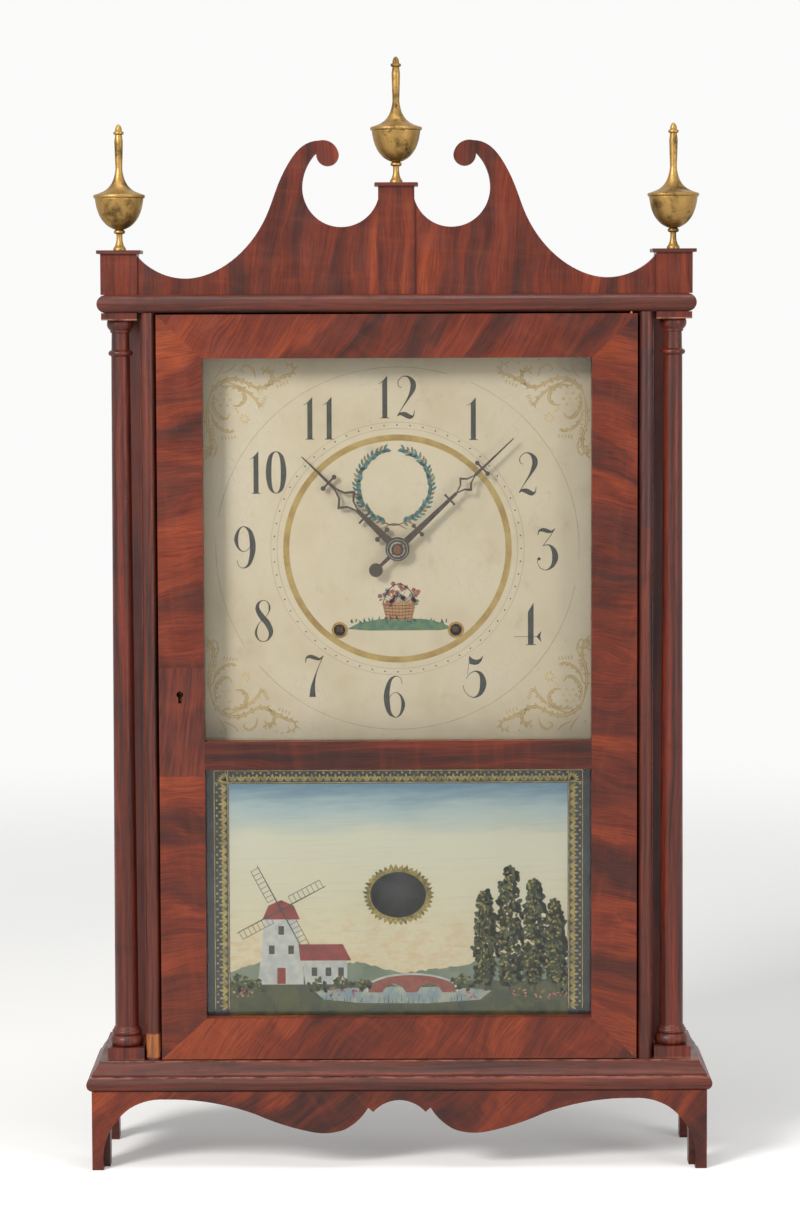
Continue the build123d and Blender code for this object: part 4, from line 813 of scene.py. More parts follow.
DIGIT_HEIGHT = 30.4
NINE = [
    (-0.16, 0.20, 0.012), (-0.13, 0.07, 0.012), (-0.02, 0.015, 0.02), (0.11, 0.10, 0.07), (0.19, 0.35, 0.12),
    (0.20, 0.60, 0.135), (0.14, 0.87, 0.09), (0.0, 0.985, 0.02), (-0.12, 0.91, 0.05), (-0.185, 0.70, 0.09),
    (-0.14, 0.50, 0.05), (-0.02, 0.40, 0.015), (0.10, 0.46, 0.012), (0.155, 0.58, 0.012),
]
DIGIT_STROKES = {
    "0": [],
    "1": [
        [(-0.15, 0.815, 0.008), (-0.10, 0.83, 0.012), (-0.05, 0.87, 0.016)],
        [(-0.10, 0.012, 0.018), (0.10, 0.012, 0.018)],
    ],
    "2": [
        [
            (-0.10, 0.72, 0.012), (-0.17, 0.76, 0.016), (-0.17, 0.88, 0.018), (-0.06, 0.98, 0.018),
            (0.07, 0.96, 0.05), (0.165, 0.84, 0.12), (0.165, 0.69, 0.12), (0.06, 0.47, 0.05),
            (-0.10, 0.22, 0.018), (-0.20, 0.05, 0.014),
        ],
        [
            (-0.20, 0.05, 0.014), (-0.13, 0.105, 0.06), (-0.02, 0.09, 0.115), (0.10, 0.035, 0.10),
            (0.18, 0.07, 0.03), (0.205, 0.19, 0.012),
        ],
    ],
    "3": [
        [
            (-0.20, 0.83, 0.012), (-0.17, 0.93, 0.04), (-0.08, 0.955, 0.09), (0.03, 0.925, 0.09),
            (0.12, 0.915, 0.05), (0.20, 0.985, 0.012),
        ],
        [(0.20, 0.985, 0.012), (0.08, 0.80, 0.014), (-0.08, 0.585, 0.014)],
        [
            (-0.08, 0.585, 0.014), (0.06, 0.60, 0.03), (0.17, 0.48, 0.11), (0.205, 0.30, 0.14),
            (0.14, 0.11, 0.08), (0.0, 0.015, 0.02), (-0.14, 0.06, 0.014), (-0.21, 0.20, 0.012),
            (-0.19, 0.29, 0.012),
        ],
    ],
    "4": [[(-0.40, 0.20, 0.010), (0.14, 0.20, 0.010)], [(-0.12, 0.010, 0.016), (0.12, 0.010, 0.016)],],
    "5": [
        [(-0.127, 0.98, 0.012), (-0.145, 0.80, 0.010), (-0.175, 0.56, 0.010)],
        [
            (-0.20, 0.45, 0.012), (-0.12, 0.57, 0.015), (0.02, 0.625, 0.03), (0.145, 0.55, 0.09),
            (0.195, 0.34, 0.15), (0.135, 0.12, 0.10), (0.0, 0.015, 0.03), (-0.14, 0.05, 0.014),
            (-0.25, 0.18, 0.012), (-0.27, 0.30, 0.012),
        ],
    ],
    "6": [[(-x, 1.0 - z, width) for x, z, width in NINE]],
    "7": [
        [
            (-0.21, 0.82, 0.012), (-0.19, 0.93, 0.04), (-0.10, 0.965, 0.085), (0.02, 0.93, 0.085),
            (0.12, 0.905, 0.05), (0.21, 0.985, 0.012),
        ],
        [
            (0.21, 0.985, 0.012),
            (0.10, 0.74, 0.016),
            (0.01, 0.48, 0.04),
            (-0.04, 0.24, 0.10),
            (-0.05, 0.01, 0.15),
        ],
    ],
    "8": [],
    "9": [NINE],
}
DIGIT_LOOPS = {
    "0": [
        (0.0, 0.985, 0.018), (0.13, 0.86, 0.09), (0.175, 0.5, 0.13), (0.13, 0.14, 0.09), (0.0, 0.015, 0.018),
        (-0.13, 0.14, 0.09), (-0.175, 0.5, 0.13), (-0.13, 0.86, 0.09),
    ],
    "8": [
        (0.0, 0.985, 0.015), (-0.11, 0.92, 0.05), (-0.14, 0.78, 0.10), (-0.04, 0.60, 0.135),
        (0.09, 0.44, 0.135), (0.17, 0.24, 0.11), (0.11, 0.07, 0.04), (0.0, 0.015, 0.014),
        (-0.12, 0.06, 0.03), (-0.18, 0.22, 0.055), (-0.12, 0.42, 0.02), (0.0, 0.54, 0.012),
        (0.11, 0.68, 0.016), (0.145, 0.81, 0.04), (0.10, 0.94, 0.02),
    ],
}
DIGIT_BLOCKS = {
    "1": [[(-0.058, 0.012), (0.058, 0.012), (0.058, 1.0), (-0.058, 0.865)]],
    "4": [
        [(-0.066, 0.01), (0.066, 0.01), (0.066, 1.0), (-0.066, 0.78)],
        [(0.135, 0.20), (0.245, 0.33), (0.225, 0.20), (0.245, 0.07)],
    ],
    "5": [
        [
            (-0.13, 1.0), (-0.07, 0.935), (0.02, 0.895), (0.11, 0.91), (0.20, 1.0), (0.155, 0.87),
            (0.085, 0.795), (0.0, 0.775), (-0.125, 0.80),
        ]
    ],
}
DIGIT_DOTS = {"3": [(-0.175, 0.275, 0.038)]}
NUMERALS = (
    (2.3, 549.0, (("1", -0.36), ("2", 0.13))), (54.2, 533.4, (("1", 0.0),)), (92.6, 494.3, (("2", 0.0),)),
    (106.1, 440.3, (("3", 0.0),)), (94.9, 387.0, (("4", 0.0),)), (55.0, 349.3, (("5", 0.0),)),
    (-1.9, 335.1, (("6", 0.0),)), (-59.5, 350.0, (("7", 0.0),)), (-95.7, 389.8, (("8", 0.0),)),
    (-109.2, 442.4, (("9", 0.0),)), (-92.2, 495.7, (("1", -0.27), ("0", 0.20))),
    (-55.2, 534.1, (("1", -0.22), ("1", 0.23))),
)
ink_front, ink_back = dial_face - 0.12, dial_face


def numeral(figure, x, z):
    """The strokes, blocks and dots of one figure, with its foot at (x, z)."""

    def at(*values):
        return (
            x + DIGIT_HEIGHT * values[0],
            z + DIGIT_HEIGHT * values[1],
            *(DIGIT_HEIGHT * v for v in values[2:]),
        )

    forms = [brush([at(*p) for p in stroke], ink_front, ink_back, 8) for stroke in DIGIT_STROKES[figure]]
    if figure in DIGIT_LOOPS:
        forms.append(brush([at(*p) for p in DIGIT_LOOPS[figure]], ink_front, ink_back, 8, closed=True))
    forms.extend(slab([at(*p) for p in block], ink_front, ink_back) for block in DIGIT_BLOCKS.get(figure, ()))
    forms.extend(disc(*at(*dot), ink_front, ink_back) for dot in DIGIT_DOTS.get(figure, ()))
    return forms


ink = paint("numeral_black", (48, 46, 44), 1.0, rough=0.5, other=(72, 68, 62), scale=0.006)
faint_ink = paint("pencil_grey", (150, 136, 112), 2.0, rough=0.6, other=(186, 172, 146), scale=0.012)
figures = []
for x, z, marks in NUMERALS:
    for figure, shift in marks:
        figures.extend(numeral(figure, x + shift * DIGIT_HEIGHT, z - DIGIT_HEIGHT / 2))
painted("dial_numerals", figures, "case", ink, "dial_paint")


def ring(radius, width, front, back, sides=180, start=0.0, turn=360.0):
    """A painted circle or part of one round the dial's centre."""
    full = turn >= 360.0
    points = []
    for k in range(sides if full else sides + 1):
        a = math.radians(start + turn * k / sides)
        points.append((radius * math.sin(a), dial_centre + radius * math.cos(a), width))
    return brush(points, front, back, 1, closed=full)


GOLD_RING_RADIUS, DOTS_RADIUS, OUTER_RING_RADIUS = 79.2, 88.1, 129.3
TURNS = [2 * math.pi * k / 64 for k in range(64)]
gold_paint = paint(
    "ring_gold_paint", (194, 164, 98), 3.0, rough=0.38, other=(170, 136, 72), scale=0.016, metal=0.25
)
painted(
    "dial_gold_ring", [ring(GOLD_RING_RADIUS, 4.3, ink_front, ink_back)], "case", gold_paint, "dial_paint"
)
thin_lines = [
    ring(DOTS_RADIUS - 2.4, 0.22, ink_front, ink_back), ring(DOTS_RADIUS + 2.1, 0.20, ink_front, ink_back)
]
for start, turn in ((-80, 96), (24, 70), (102, 128), (238, 34)):
    thin_lines.append(ring(OUTER_RING_RADIUS, 0.26, ink_front, ink_back, 90, start, turn))
painted("dial_pencil_rings", thin_lines, "case", faint_ink, "dial_paint")
minute_dots = []
for minute in range(60):
    a = math.radians(6.0 * minute)
    minute_dots.append(
        disc(
            DOTS_RADIUS * math.sin(a), dial_centre + DOTS_RADIUS * math.cos(a), 0.55, ink_front, ink_back, 10
        )
    )
painted("dial_minute_dots", minute_dots, "case", ink, "dial_paint")

# Gilt spandrels: strokes as (along the level edge, along the upright edge, width) from the dial's corner

OPENING_HALF_WIDTH, OPENING_BOTTOM, OPENING_TOP = 136.4, 306.9, 576.4
SPANDREL_STROKES = (
    [
        (3.5, 27, 1.0), (6.0, 21.5, 1.8), (12, 16.6, 2.4), (20.7, 14.2, 2.2), (28, 16.2, 1.8),
        (37, 20.6, 1.8), (44, 19.4, 2.2), (48, 14.4, 2.0), (46.8, 9.4, 1.4), (42.6, 8.2, 1.0),
        (41, 11.4, 0.5),
    ],
    [
        (44, 19.4, 1.0), (51, 15.2, 1.9), (56.6, 12.2, 1.9), (61.8, 10.4, 1.4), (63.0, 6.4, 1.0),
        (59.4, 4.2, 0.8), (57.6, 7.2, 0.4),
    ],
    [(36, 13.4, 0.6), (34.4, 7.6, 1.4), (29.8, 4.6, 1.6), (26.0, 7.4, 1.0), (28.6, 10.4, 0.4)],
    [
        (3.5, 27, 1.0), (1.8, 36, 1.8), (1.8, 46, 2.2), (4.6, 56, 2.2), (4.4, 64, 1.8), (1.4, 69, 1.4),
        (0.4, 64.6, 0.8), (2.0, 62.0, 0.4),
    ],
    [
        (18, 38.7, 0.6), (15.6, 42.2, 1.4), (11.2, 42.0, 2.0), (7.0, 37.0, 2.2), (5.4, 31.4, 1.6),
        (6.6, 25.0, 1.0),
    ],
    [
        (19.8, 33.2, 0.6), (24.8, 33.0, 1.6), (28.6, 28.6, 2.2), (26.6, 22.8, 2.0), (19.6, 19.4, 1.4),
        (11.8, 20.0, 0.8),
    ],
    [(17, 16.6, 1.0), (26.2, 20.8, 1.8), (33.4, 26.0, 1.8), (37.6, 31.2, 1.6), (38.6, 35.6, 0.6)],
    [(4.4, 37.8, 0.8), (6.4, 44.6, 1.7), (11.6, 50.0, 1.8), (17.6, 52.0, 1.6), (21.4, 51.0, 0.5)],
    [(6, 57, 0.6), (8.2, 62, 1.2), (7.0, 67.6, 1.0), (4.4, 69.8, 0.4)],
    [(12, 10.6, 0.5), (18.4, 7.6, 1.1), (22.6, 3.4, 0.5)],
    [(7, 14, 0.5), (11.4, 8.4, 1.0), (13.6, 3.2, 0.4)],
)
SPANDREL_FRONDS = (
    (0, -0.8), (0, 0.9), (1, 0.8), (3, 0.8), (3, -0.9), (5, -0.8), (6, -0.7), (7, -0.7), (4, 0.8)
)
SPANDREL_FRINGES = (
    ((38.4, 33.0), (41.6, 26.2), 5, 200.0, 3.6),
    ((20.4, 53.8), (12.0, 54.6), 5, 250.0, 3.4),
    ((51.0, 18.2), (58.4, 15.4), 4, 250.0, 3.0),
    ((6.6, 47.6), (7.8, 54.6), 4, 20.0, 3.0),
    ((48.4, 7.6), (42.0, 4.8), 4, 280.0, 2.6),
)


def spandrel(side, height, front, back, widen=1.0):
    """The gilt forms of one corner; side and height are -1 or 1, and widen scales the strokes' widths."""
    corner_x, corner_z = OPENING_HALF_WIDTH * side, (OPENING_TOP if height > 0 else OPENING_BOTTOM)

    def at(u, v, *more):
        return (corner_x - side * u, corner_z - height * v, *(widen * w for w in more))

    forms = [brush([at(*p) for p in stroke], front, back, 6) for stroke in SPANDREL_STROKES]
    for index, bend in SPANDREL_FRONDS:
        line = smooth_line(SPANDREL_STROKES[index], 3)
        for k in range(3, len(line) - 2, 2):
            (u0, v0, _), (u1, v1, _) = line[k - 1], line[k + 1]
            a = math.atan2(v1 - v0, u1 - u0) + bend
            foot, tip = at(line[k][0], line[k][1]), at(
                line[k][0] + 3.6 * math.cos(a), line[k][1] + 3.6 * math.sin(a)
            )
            turn = math.atan2(tip[1] - foot[1], tip[0] - foot[0])
            forms.append(leaf(*foot, 3.6, 1.2 * widen, turn, front, back))
    for (u0, v0), (u1, v1), count, turn, length in SPANDREL_FRINGES:
        for k in range(count):
            share = k / (count - 1)
            u, v = u0 + (u1 - u0) * share, v0 + (v1 - v0) * share
            a = math.radians(turn + 14 * (share - 0.5))
            tip = (u - length * math.cos(a), v - length * math.sin(a))
            forms.append(
                brush(
                    [at(u, v, 0.25), at((u + tip[0]) / 2, (v + tip[1]) / 2, 0.95), at(*tip, 0.2)],
                    front,
                    back,
                    3,
                )
            )
    berry_u, berry_v = 13.6, 29.0
    for k in range(6):
        a = 2 * math.pi * k / 6
        forms.append(
            disc(*at(berry_u + 4.6 * math.cos(a), berry_v + 4.6 * math.sin(a)), 1.15, front, back, 12)
        )
    forms.append(disc(*at(berry_u, berry_v), 1.0, front, back, 12))
    flower_u, flower_v = 28.0, 42.4
    for k in range(8):
        a = 2 * math.pi * (k + 0.3) / 8
        start = at(flower_u + 1.2 * math.cos(a), flower_v + 1.2 * math.sin(a))
        end = at(flower_u + 4.2 * math.cos(a), flower_v + 4.2 * math.sin(a))
        turn = math.atan2(end[1] - start[1], end[0] - start[0])
        forms.append(leaf(*start, 3.2, 1.3, turn, front, back))
    for u, v in ((23.4, 37.4), (21.8, 35.4), (50.0, 3.6), (53.4, 2.4), (2.6, 10.0), (6.4, 6.0), (10.0, 3.0)):
        forms.append(disc(*at(u, v), 0.9, front, back, 10))
    return forms


gilt = paint("spandrel_gilt", (188, 152, 90), 4.0, rough=0.42, other=(206, 178, 124), scale=0.007, metal=0.15)
light_gilt = paint(
    "spandrel_light_gilt", (232, 208, 156), 4.5, rough=0.36, other=(214, 186, 130), scale=0.005, metal=0.15
)
for side, height, name in (
    (-1, 1, "upper_left"), (1, 1, "upper_right"), (-1, -1, "lower_left"), (1, -1, "lower_right")
):
    painted(f"spandrel_{name}", spandrel(side, height, ink_front, ink_back), "case", gilt, "dial_paint")
    lights = spandrel(side, height, ink_front - 0.05, ink_front, widen=0.38)
    painted(f"spandrel_light_{name}", lights, "case", light_gilt, "dial_paint")

# Leaf wreath over the centre, and a basket of flowers under it

chance = random.Random(7)
wreath_x, wreath_z = -2.1, 485.9
WREATH_RADIUS = 27.0
teal_leaves, green_leaves, ochre_leaves, stems = [], [], [], []
for side in (-1, 1):
    stem = []
    for k in range(13):
        a = math.radians(170 - k * 12.6) * side
        radius = WREATH_RADIUS + 0.3 * math.sin(k * 1.9)
        stem.append((wreath_x + radius * math.sin(a), wreath_z + radius * math.cos(a), 0.34))
    stems.append(brush(stem, ink_front, ink_back, 4))
    for k in range(23):
        a = math.radians(166 - k * 6.8) * side
        heading = -a if side < 0 else math.pi - a
        foot = (
            wreath_x + (WREATH_RADIUS - 0.2) * math.sin(a), wreath_z + (WREATH_RADIUS - 0.2) * math.cos(a)
        )
        into = heading + side * (0.62 + chance.uniform(-0.2, 0.2))
        out = heading - side * (0.72 + chance.uniform(-0.2, 0.2))
        group = (teal_leaves, teal_leaves, green_leaves)[k % 3]
        group.append(leaf(*foot, 5.6 + chance.uniform(-0.6, 0.6), 2.9, into, ink_front - 0.02, ink_back))
        group = (green_leaves, ochre_leaves, teal_leaves, teal_leaves)[k % 4]
        group.append(leaf(*foot, 4.4 + chance.uniform(-0.8, 0.8), 1.8, out, ink_front - 0.02, ink_back))
stems.append(
    brush(
        [
            (wreath_x - 9, wreath_z - 30.4, 0.4),
            (wreath_x, wreath_z - 27.0, 1.0),
            (wreath_x + 9, wreath_z - 31.0, 0.4),
        ],
        ink_front,
        ink_back,
    )
)
stems.append(
    brush(
        [
            (wreath_x - 10, wreath_z - 25.6, 0.5),
            (wreath_x, wreath_z - 28.0, 1.0),
            (wreath_x + 10, wreath_z - 25.0, 0.5),
        ],
        ink_front,
        ink_back,
    )
)
teal = paint("wreath_teal", (58, 92, 98), 5.0, rough=0.45, other=(112, 150, 150), scale=0.003)
leaf_green = paint("wreath_green", (70, 104, 84), 6.0, rough=0.45, other=(132, 160, 132), scale=0.003)
leaf_ochre = paint("wreath_ochre", (176, 140, 84), 7.0, rough=0.45, other=(150, 110, 70), scale=0.003)
stem_brown = paint("stem_brown", (128, 92, 62), 8.0, rough=0.5, other=(160, 124, 88), scale=0.004)
painted("wreath_teal_leaves", teal_leaves, "case", teal, "dial_paint")
painted("wreath_green_leaves", green_leaves, "case", leaf_green, "dial_paint")
painted("wreath_ochre_leaves", ochre_leaves, "case", leaf_ochre, "dial_paint")

mound, basket, petals_red, petals_blue, weave = [], [], [], [], []
mound.append(
    slab(
        [
            (-36, 383.8), (-28, 388.0), (-14, 390.6), (4, 391.4), (20, 390.6), (32, 387.8), (39, 384.2),
            (30, 382.8), (-20, 382.6),
        ],
        ink_front,
        ink_back,
    )
)
for k in range(46):
    x = -33 + k * 1.5
    foot = 386.4 + 3.0 * math.cos((x - 2.0) / 26.0) + chance.uniform(-2.4, 0.8)
    turn = math.radians(chance.uniform(40, 140))
    mound.append(leaf(x, foot, 3.4, 1.2, turn, ink_front - 0.02, ink_back))
basket.append(slab([(-11.0, 402.4), (-8.2, 390.2), (10.2, 390.2), (13.0, 402.4)], ink_front - 0.02, ink_back))
for k in range(5):
    z = 391.8 + 2.3 * k
    reach = 9.6 + 0.55 * k
    weave.append(
        brush([(1.0 - reach, z, 0.5), (1.0, z - 0.7, 0.6), (1.0 + reach, z, 0.5)], ink_front - 0.05, ink_back)
    )
for k in range(9):
    x = -7.4 + k * 2.1
    weave.append(brush([(x, 390.4, 0.3), (x + (x - 1.0) * 0.24, 402.2, 0.3)], ink_front - 0.05, ink_back, 1))
handle = [(-10.4, 402.0, 0.7), (-7.0, 411.0, 0.7), (1.0, 416.0, 0.7), (9.0, 411.0, 0.7), (12.4, 402.0, 0.7)]
weave.append(brush(handle, ink_front - 0.05, ink_back))
for k in range(30):
    a = math.radians(10 + k * 5.5)
    radius = 10.0 + chance.uniform(-6.0, 5.0)
    x, z = 1.0 + 1.2 * radius * math.cos(a), 401.6 + radius * math.sin(a)
    stems.append(brush([(1.0 + 4.0 * math.cos(a), 401.4, 0.3), (x, z, 0.25)], ink_front, ink_back, 1))
    group = petals_red if k % 3 else petals_blue
    for petal in range(5):
        b = 2 * math.pi * petal / 5 + k
        group.append(disc(x + 0.95 * math.cos(b), z + 0.95 * math.sin(b), 0.8, ink_front - 0.05, ink_back, 8))
    mound.append(
        leaf(x * 0.86 + 0.2, z - 2.4, 3.0, 1.2, a + chance.uniform(-0.8, 0.8), ink_front - 0.02, ink_back)
    )
painted("painted_stems", stems, "case", stem_brown, "dial_paint")
painted(
    "painted_mound",
    mound,
    "case",
    paint("mound_green", (72, 112, 98), 9.0, other=(110, 138, 92)),
    "dial_paint",
)
painted(
    "painted_basket",
    basket,
    "case",
    paint("basket_tan", (198, 152, 92), 10.0, other=(180, 124, 88)),
    "dial_paint",
)
painted("painted_weave", weave, "case", paint("basket_lines", (128, 88, 58), 11.0), "dial_paint")
painted(
    "painted_red_flowers",
    petals_red,
    "case",
    paint("flower_red", (176, 88, 74), 12.0, other=(204, 132, 112)),
    "dial_paint",
)
painted(
    "painted_blue_flowers",
    petals_blue,
    "case",
    paint("flower_blue", (92, 116, 148), 13.0, other=(220, 206, 160)),
    "dial_paint",
)

# Collet ring and taper pin over the minute hand

hand_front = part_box("minute_hand")[0].y / MM
hub_rings = [
    brush(
        [(radius * math.cos(a), dial_centre + radius * math.sin(a), width) for a in TURNS],
        hand_front - lift,
        hand_front,
        1,
        True,
    )
    for radius, width, lift in ((4.9, 1.1, 0.25), (7.2, 0.5, 0.18))
]
ring_steel = dark_metal(
    "collet_steel", (168, 166, 154), (112, 100, 84), 6.0, metal=0.6, rough=0.42, grain=0.002
)
painted("hand_collet", hub_rings, "minute", ring_steel, "blued_steel")
pin_iron = dark_metal("taper_pin_iron", (74, 48, 40), (52, 36, 32), 7.0, metal=0.4, rough=0.5, grain=0.002)
taper_pin = brush(
    [(-3.8, dial_centre - 3.4, 0.8), (3.2, dial_centre + 3.8, 1.3)], hand_front - 1.3, hand_front - 0.4, 1
)
painted("hand_taper_pin", [taper_pin], "minute", pin_iron, "blued_steel")

# Painted picture behind the lower pane

glass_low, glass_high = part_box("tablet_glass")
picture_left, picture_right = glass_low.x / MM + 0.2, glass_high.x / MM - 0.2
picture_low, picture_high = glass_low.z / MM + 0.2, glass_high.z / MM - 0.2
sky_front, sky_back = pane_back + 0.20, pane_back + 0.32
port_x, port_z, port_half_width, port_half_height = -0.4, 194.5, 19.8, 16.4


PORT_STEPS = 96


def port_outline(extra):
    """Points round the oval port, moved outwards by extra."""
    points = []
    for k in range(PORT_STEPS):
        a = 2 * math.pi * k / PORT_STEPS
        points.append(
            (
                port_x + (port_half_width + extra) * math.cos(a),
                port_z + (port_half_height + extra) * math.sin(a),
            )
        )
    return points


def frame_outline(left, right, low, high):
    """Points on a rectangle, seen from the port at the same angles as its outline."""
    points = []
    for k in range(PORT_STEPS):
        a = 2 * math.pi * k / PORT_STEPS
        c, s = math.cos(a), math.sin(a)
        reach = min(
            (right - port_x) / c if c > 1e-9 else 1e9,
            (left - port_x) / c if c < -1e-9 else 1e9,
            (high - port_z) / s if s > 1e-9 else 1e9,
            (low - port_z) / s if s < -1e-9 else 1e9,
        )
        points.append((port_x + reach * c, port_z + reach * s))
    return points


made(
    "tablet_sky",
    *band_slab(
        frame_outline(picture_left, picture_right, picture_low, picture_high),
        port_outline(1.5),
        sky_front,
        sky_back,
    ),
    "door",
    sky_paint(),
    "painted_glass",
    sharp=20.0,
)


def strip(x0, x1, z0, z1, front, back):
    """A flat upright rectangle."""
    return slab([(x0, z0), (x1, z0), (x1, z1), (x0, z1)], front, back)


border_in = 120.6
border_top = 274.6
border_front, border_back = pane_back + 0.04, pane_back + 0.10
border = [
    strip(picture_left, -border_in, picture_low, picture_high, border_front, border_back),
    strip(border_in, picture_right, picture_low, picture_high, border_front, border_back),
    strip(-border_in, border_in, border_top, picture_high, border_front, border_back),
]
painted(
    "tablet_border",
    border,
    "door",
    paint("border_blue_black", (30, 34, 44), 14.0, rough=0.4, other=(54, 62, 70), scale=0.02),
    "painted_glass",
)
stencil = []
STENCIL_PITCH = 5.6
gold_front, gold_back = pane_back + 0.01, pane_back + 0.03
for side in (-1, 1):
    for inset in (121.4, 131.2):
        stencil.append(strip(side * inset - 0.3, side * inset + 0.3, 112.0, 284.0, gold_front, gold_back))
    z = 114.6
    while z < border_top - 2.6:
        for spread in (-1, 0, 1):
            stencil.append(
                leaf(
                    side * 122.2,
                    z,
                    6.4 - abs(spread),
                    1.9,
                    (0.0 if side > 0 else math.pi) + spread * 0.62,
                    gold_front,
                    gold_back,
                )
            )
        stencil.append(disc(side * 129.4, z + 2.8, 0.8, gold_front, gold_back, 8))
        z += STENCIL_PITCH
for level in (275.4, 284.0):
    stencil.append(strip(-131.0, 131.0, level - 0.3, level + 0.3, gold_front, gold_back))
x = -117.6
while x < 119.0:
    for spread in (-1, 0, 1):
        stencil.append(
            leaf(x, 276.2, 5.8 - abs(spread), 1.9, math.pi / 2 + spread * 0.62, gold_front, gold_back)
        )
    stencil.append(disc(x + 2.8, 282.4, 0.8, gold_front, gold_back, 8))
    x += STENCIL_PITCH
for side in (-1, 1):
    for k in range(5):
        a = math.pi / 2 - side * math.radians(10 + 18 * k)
        stencil.append(leaf(side * 122.2, 276.4, 7.2, 1.9, a, gold_front, gold_back))
tablet_gold = paint(
    "stencil_gold", (186, 164, 92), 15.0, rough=0.3, other=(140, 122, 62), scale=0.006, metal=0.5
)
painted("tablet_stencil", stencil, "door", tablet_gold, "painted_glass")

port_leaves = []
for k in range(40):
    a = 2 * math.pi * k / 40
    for spread in (-0.5, 0.35):
        x = port_x + (port_half_width + 0.6) * math.cos(a)
        z = port_z + (port_half_height + 0.6) * math.sin(a)
        port_leaves.append(
            leaf(
                x, z, 5.2 + chance.uniform(-0.8, 0.8), 1.9, a + spread + chance.uniform(-0.15, 0.15),
                gold_front, gold_back,
            )
        )
port_leaves.append(band_slab(port_outline(1.7), port_outline(0.1), gold_front, gold_back))
painted("port_gold_ring", port_leaves, "door", tablet_gold, "painted_glass")


# Landscape motifs, from back to front

layer = pane_back + 0.16
RAGGED_STEP = 2.5


def dabs(centre, spread, count, size, front, squash=0.62):
    """Loose dabs of a brush scattered in an oval."""
    forms = []
    for _ in range(count):
        a, r = chance.uniform(0, 2 * math.pi), math.sqrt(chance.random())
        x, z = centre[0] + spread[0] * r * math.cos(a), centre[1] + spread[1] * r * math.sin(a)
        forms.append(
            disc(
                x, z, size * chance.uniform(0.6, 1.3), front, front + 0.02, 7, squash, chance.uniform(0, 3.1)
            )
        )
    return forms


def ragged(points, roughness):
    """An outline whose upper edge wanders a little."""
    line = []
    for (x0, z0), (x1, z1) in zip(points, points[1:]):
        count = max(1, int(abs(x1 - x0) / RAGGED_STEP))
        for k in range(count):
            t = k / count
            line.append((x0 + (x1 - x0) * t, z0 + (z1 - z0) * t + chance.uniform(-roughness, roughness)))
    line.append(points[-1])
    return line


far_hills = ragged(
    [(-122, 139), (-92, 149), (-62, 141), (-30, 146), (4, 138), (44, 143), (74, 152), (102, 145), (122, 148)],
    0.8,
)
near_bank = ragged(
    [(-122, 132), (-84, 135), (-48, 131), (-10, 129), (30, 130), (62, 133), (94, 132), (122, 136)], 1.0
)
water_line = ragged([(-60, 125), (-34, 127.4), (0, 128.2), (40, 127.6), (66, 125)], 0.3)
painted("picture_hills", [slab(far_hills + [(122, 112), (-122, 112)], layer, layer + 0.02)], "door",
        paint("hill_blue_green", (112, 128, 106), 16.0, other=(140, 148, 128), scale=0.02), "painted_glass")
painted(
    "picture_ground",
    [slab(near_bank + [(122, picture_low), (-122, picture_low)], layer - 0.01, layer + 0.01)],
    "door",
    paint("ground_dark_green", (52, 62, 36), 17.0, other=(92, 92, 50), scale=0.010),
    "painted_glass",
)
painted(
    "picture_pond",
    [slab(water_line + [(58, 118.5), (20, 116.0), (-28, 116.4), (-54, 119.0)], layer - 0.02, layer)],
    "door",
    paint("pond_grey_blue", (136, 158, 168), 18.0, other=(190, 190, 170), scale=0.012),
    "painted_glass",
)

mill_white, mill_red, mill_dark, brick = [], [], [], []
mill_x = -84.0
mill_white.append(
    slab(
        [(mill_x - 17, 130), (mill_x + 17, 130), (mill_x + 11.4, 178), (mill_x - 11.4, 178)],
        layer - 0.03,
        layer - 0.01,
    )
)
mill_white.append(strip(mill_x + 16, mill_x + 47, 130, 148, layer - 0.03, layer - 0.01))
mill_red.append(
    slab(
        [(mill_x - 13.4, 177), (mill_x + 13.4, 177), (mill_x + 9, 187), (mill_x, 191), (mill_x - 9, 187)],
        layer - 0.04,
        layer - 0.02,
    )
)
mill_red.append(
    slab(
        [(mill_x + 13.6, 147.2), (mill_x + 50, 147.2), (mill_x + 44, 159), (mill_x + 12.2, 159)],
        layer - 0.04,
        layer - 0.02,
    )
)
mill_red.append(strip(mill_x - 3, mill_x + 3, 130.4, 142, layer - 0.04, layer - 0.02))
for dx, z in ((-8.4, 152), (5.4, 152), (-1.6, 166), (22, 136), (32, 136), (41, 136)):
    mill_dark.append(strip(mill_x + dx - 0.4, mill_x + dx + 3.6, z, z + 6.2, layer - 0.05, layer - 0.03))
for arm in range(4):
    a = math.radians(28 + 90 * arm)
    run, up = (math.cos(a), math.sin(a)), (-math.sin(a), math.cos(a))
    hub = (mill_x, 184.0)
    tip = (hub[0] + 36 * run[0], hub[1] + 36 * run[1])
    mill_dark.append(brush([(*hub, 1.0), (*tip, 0.5)], layer - 0.07, layer - 0.05, 1))
    for k in range(8):
        foot = (hub[0] + (9 + 3.6 * k) * run[0], hub[1] + (9 + 3.6 * k) * run[1])
        mill_dark.append(
            brush(
                [(*foot, 0.35), (foot[0] + 6 * up[0], foot[1] + 6 * up[1], 0.35)],
                layer - 0.07,
                layer - 0.05,
                1,
            )
        )
    rail = [(hub[0] + d * run[0] + 6 * up[0], hub[1] + d * run[1] + 6 * up[1], 0.4) for d in (9, 34.2)]
    mill_dark.append(brush(rail, layer - 0.07, layer - 0.05, 1))
mill_dark.append(disc(mill_x, 184.0, 1.7, layer - 0.08, layer - 0.06, 12))
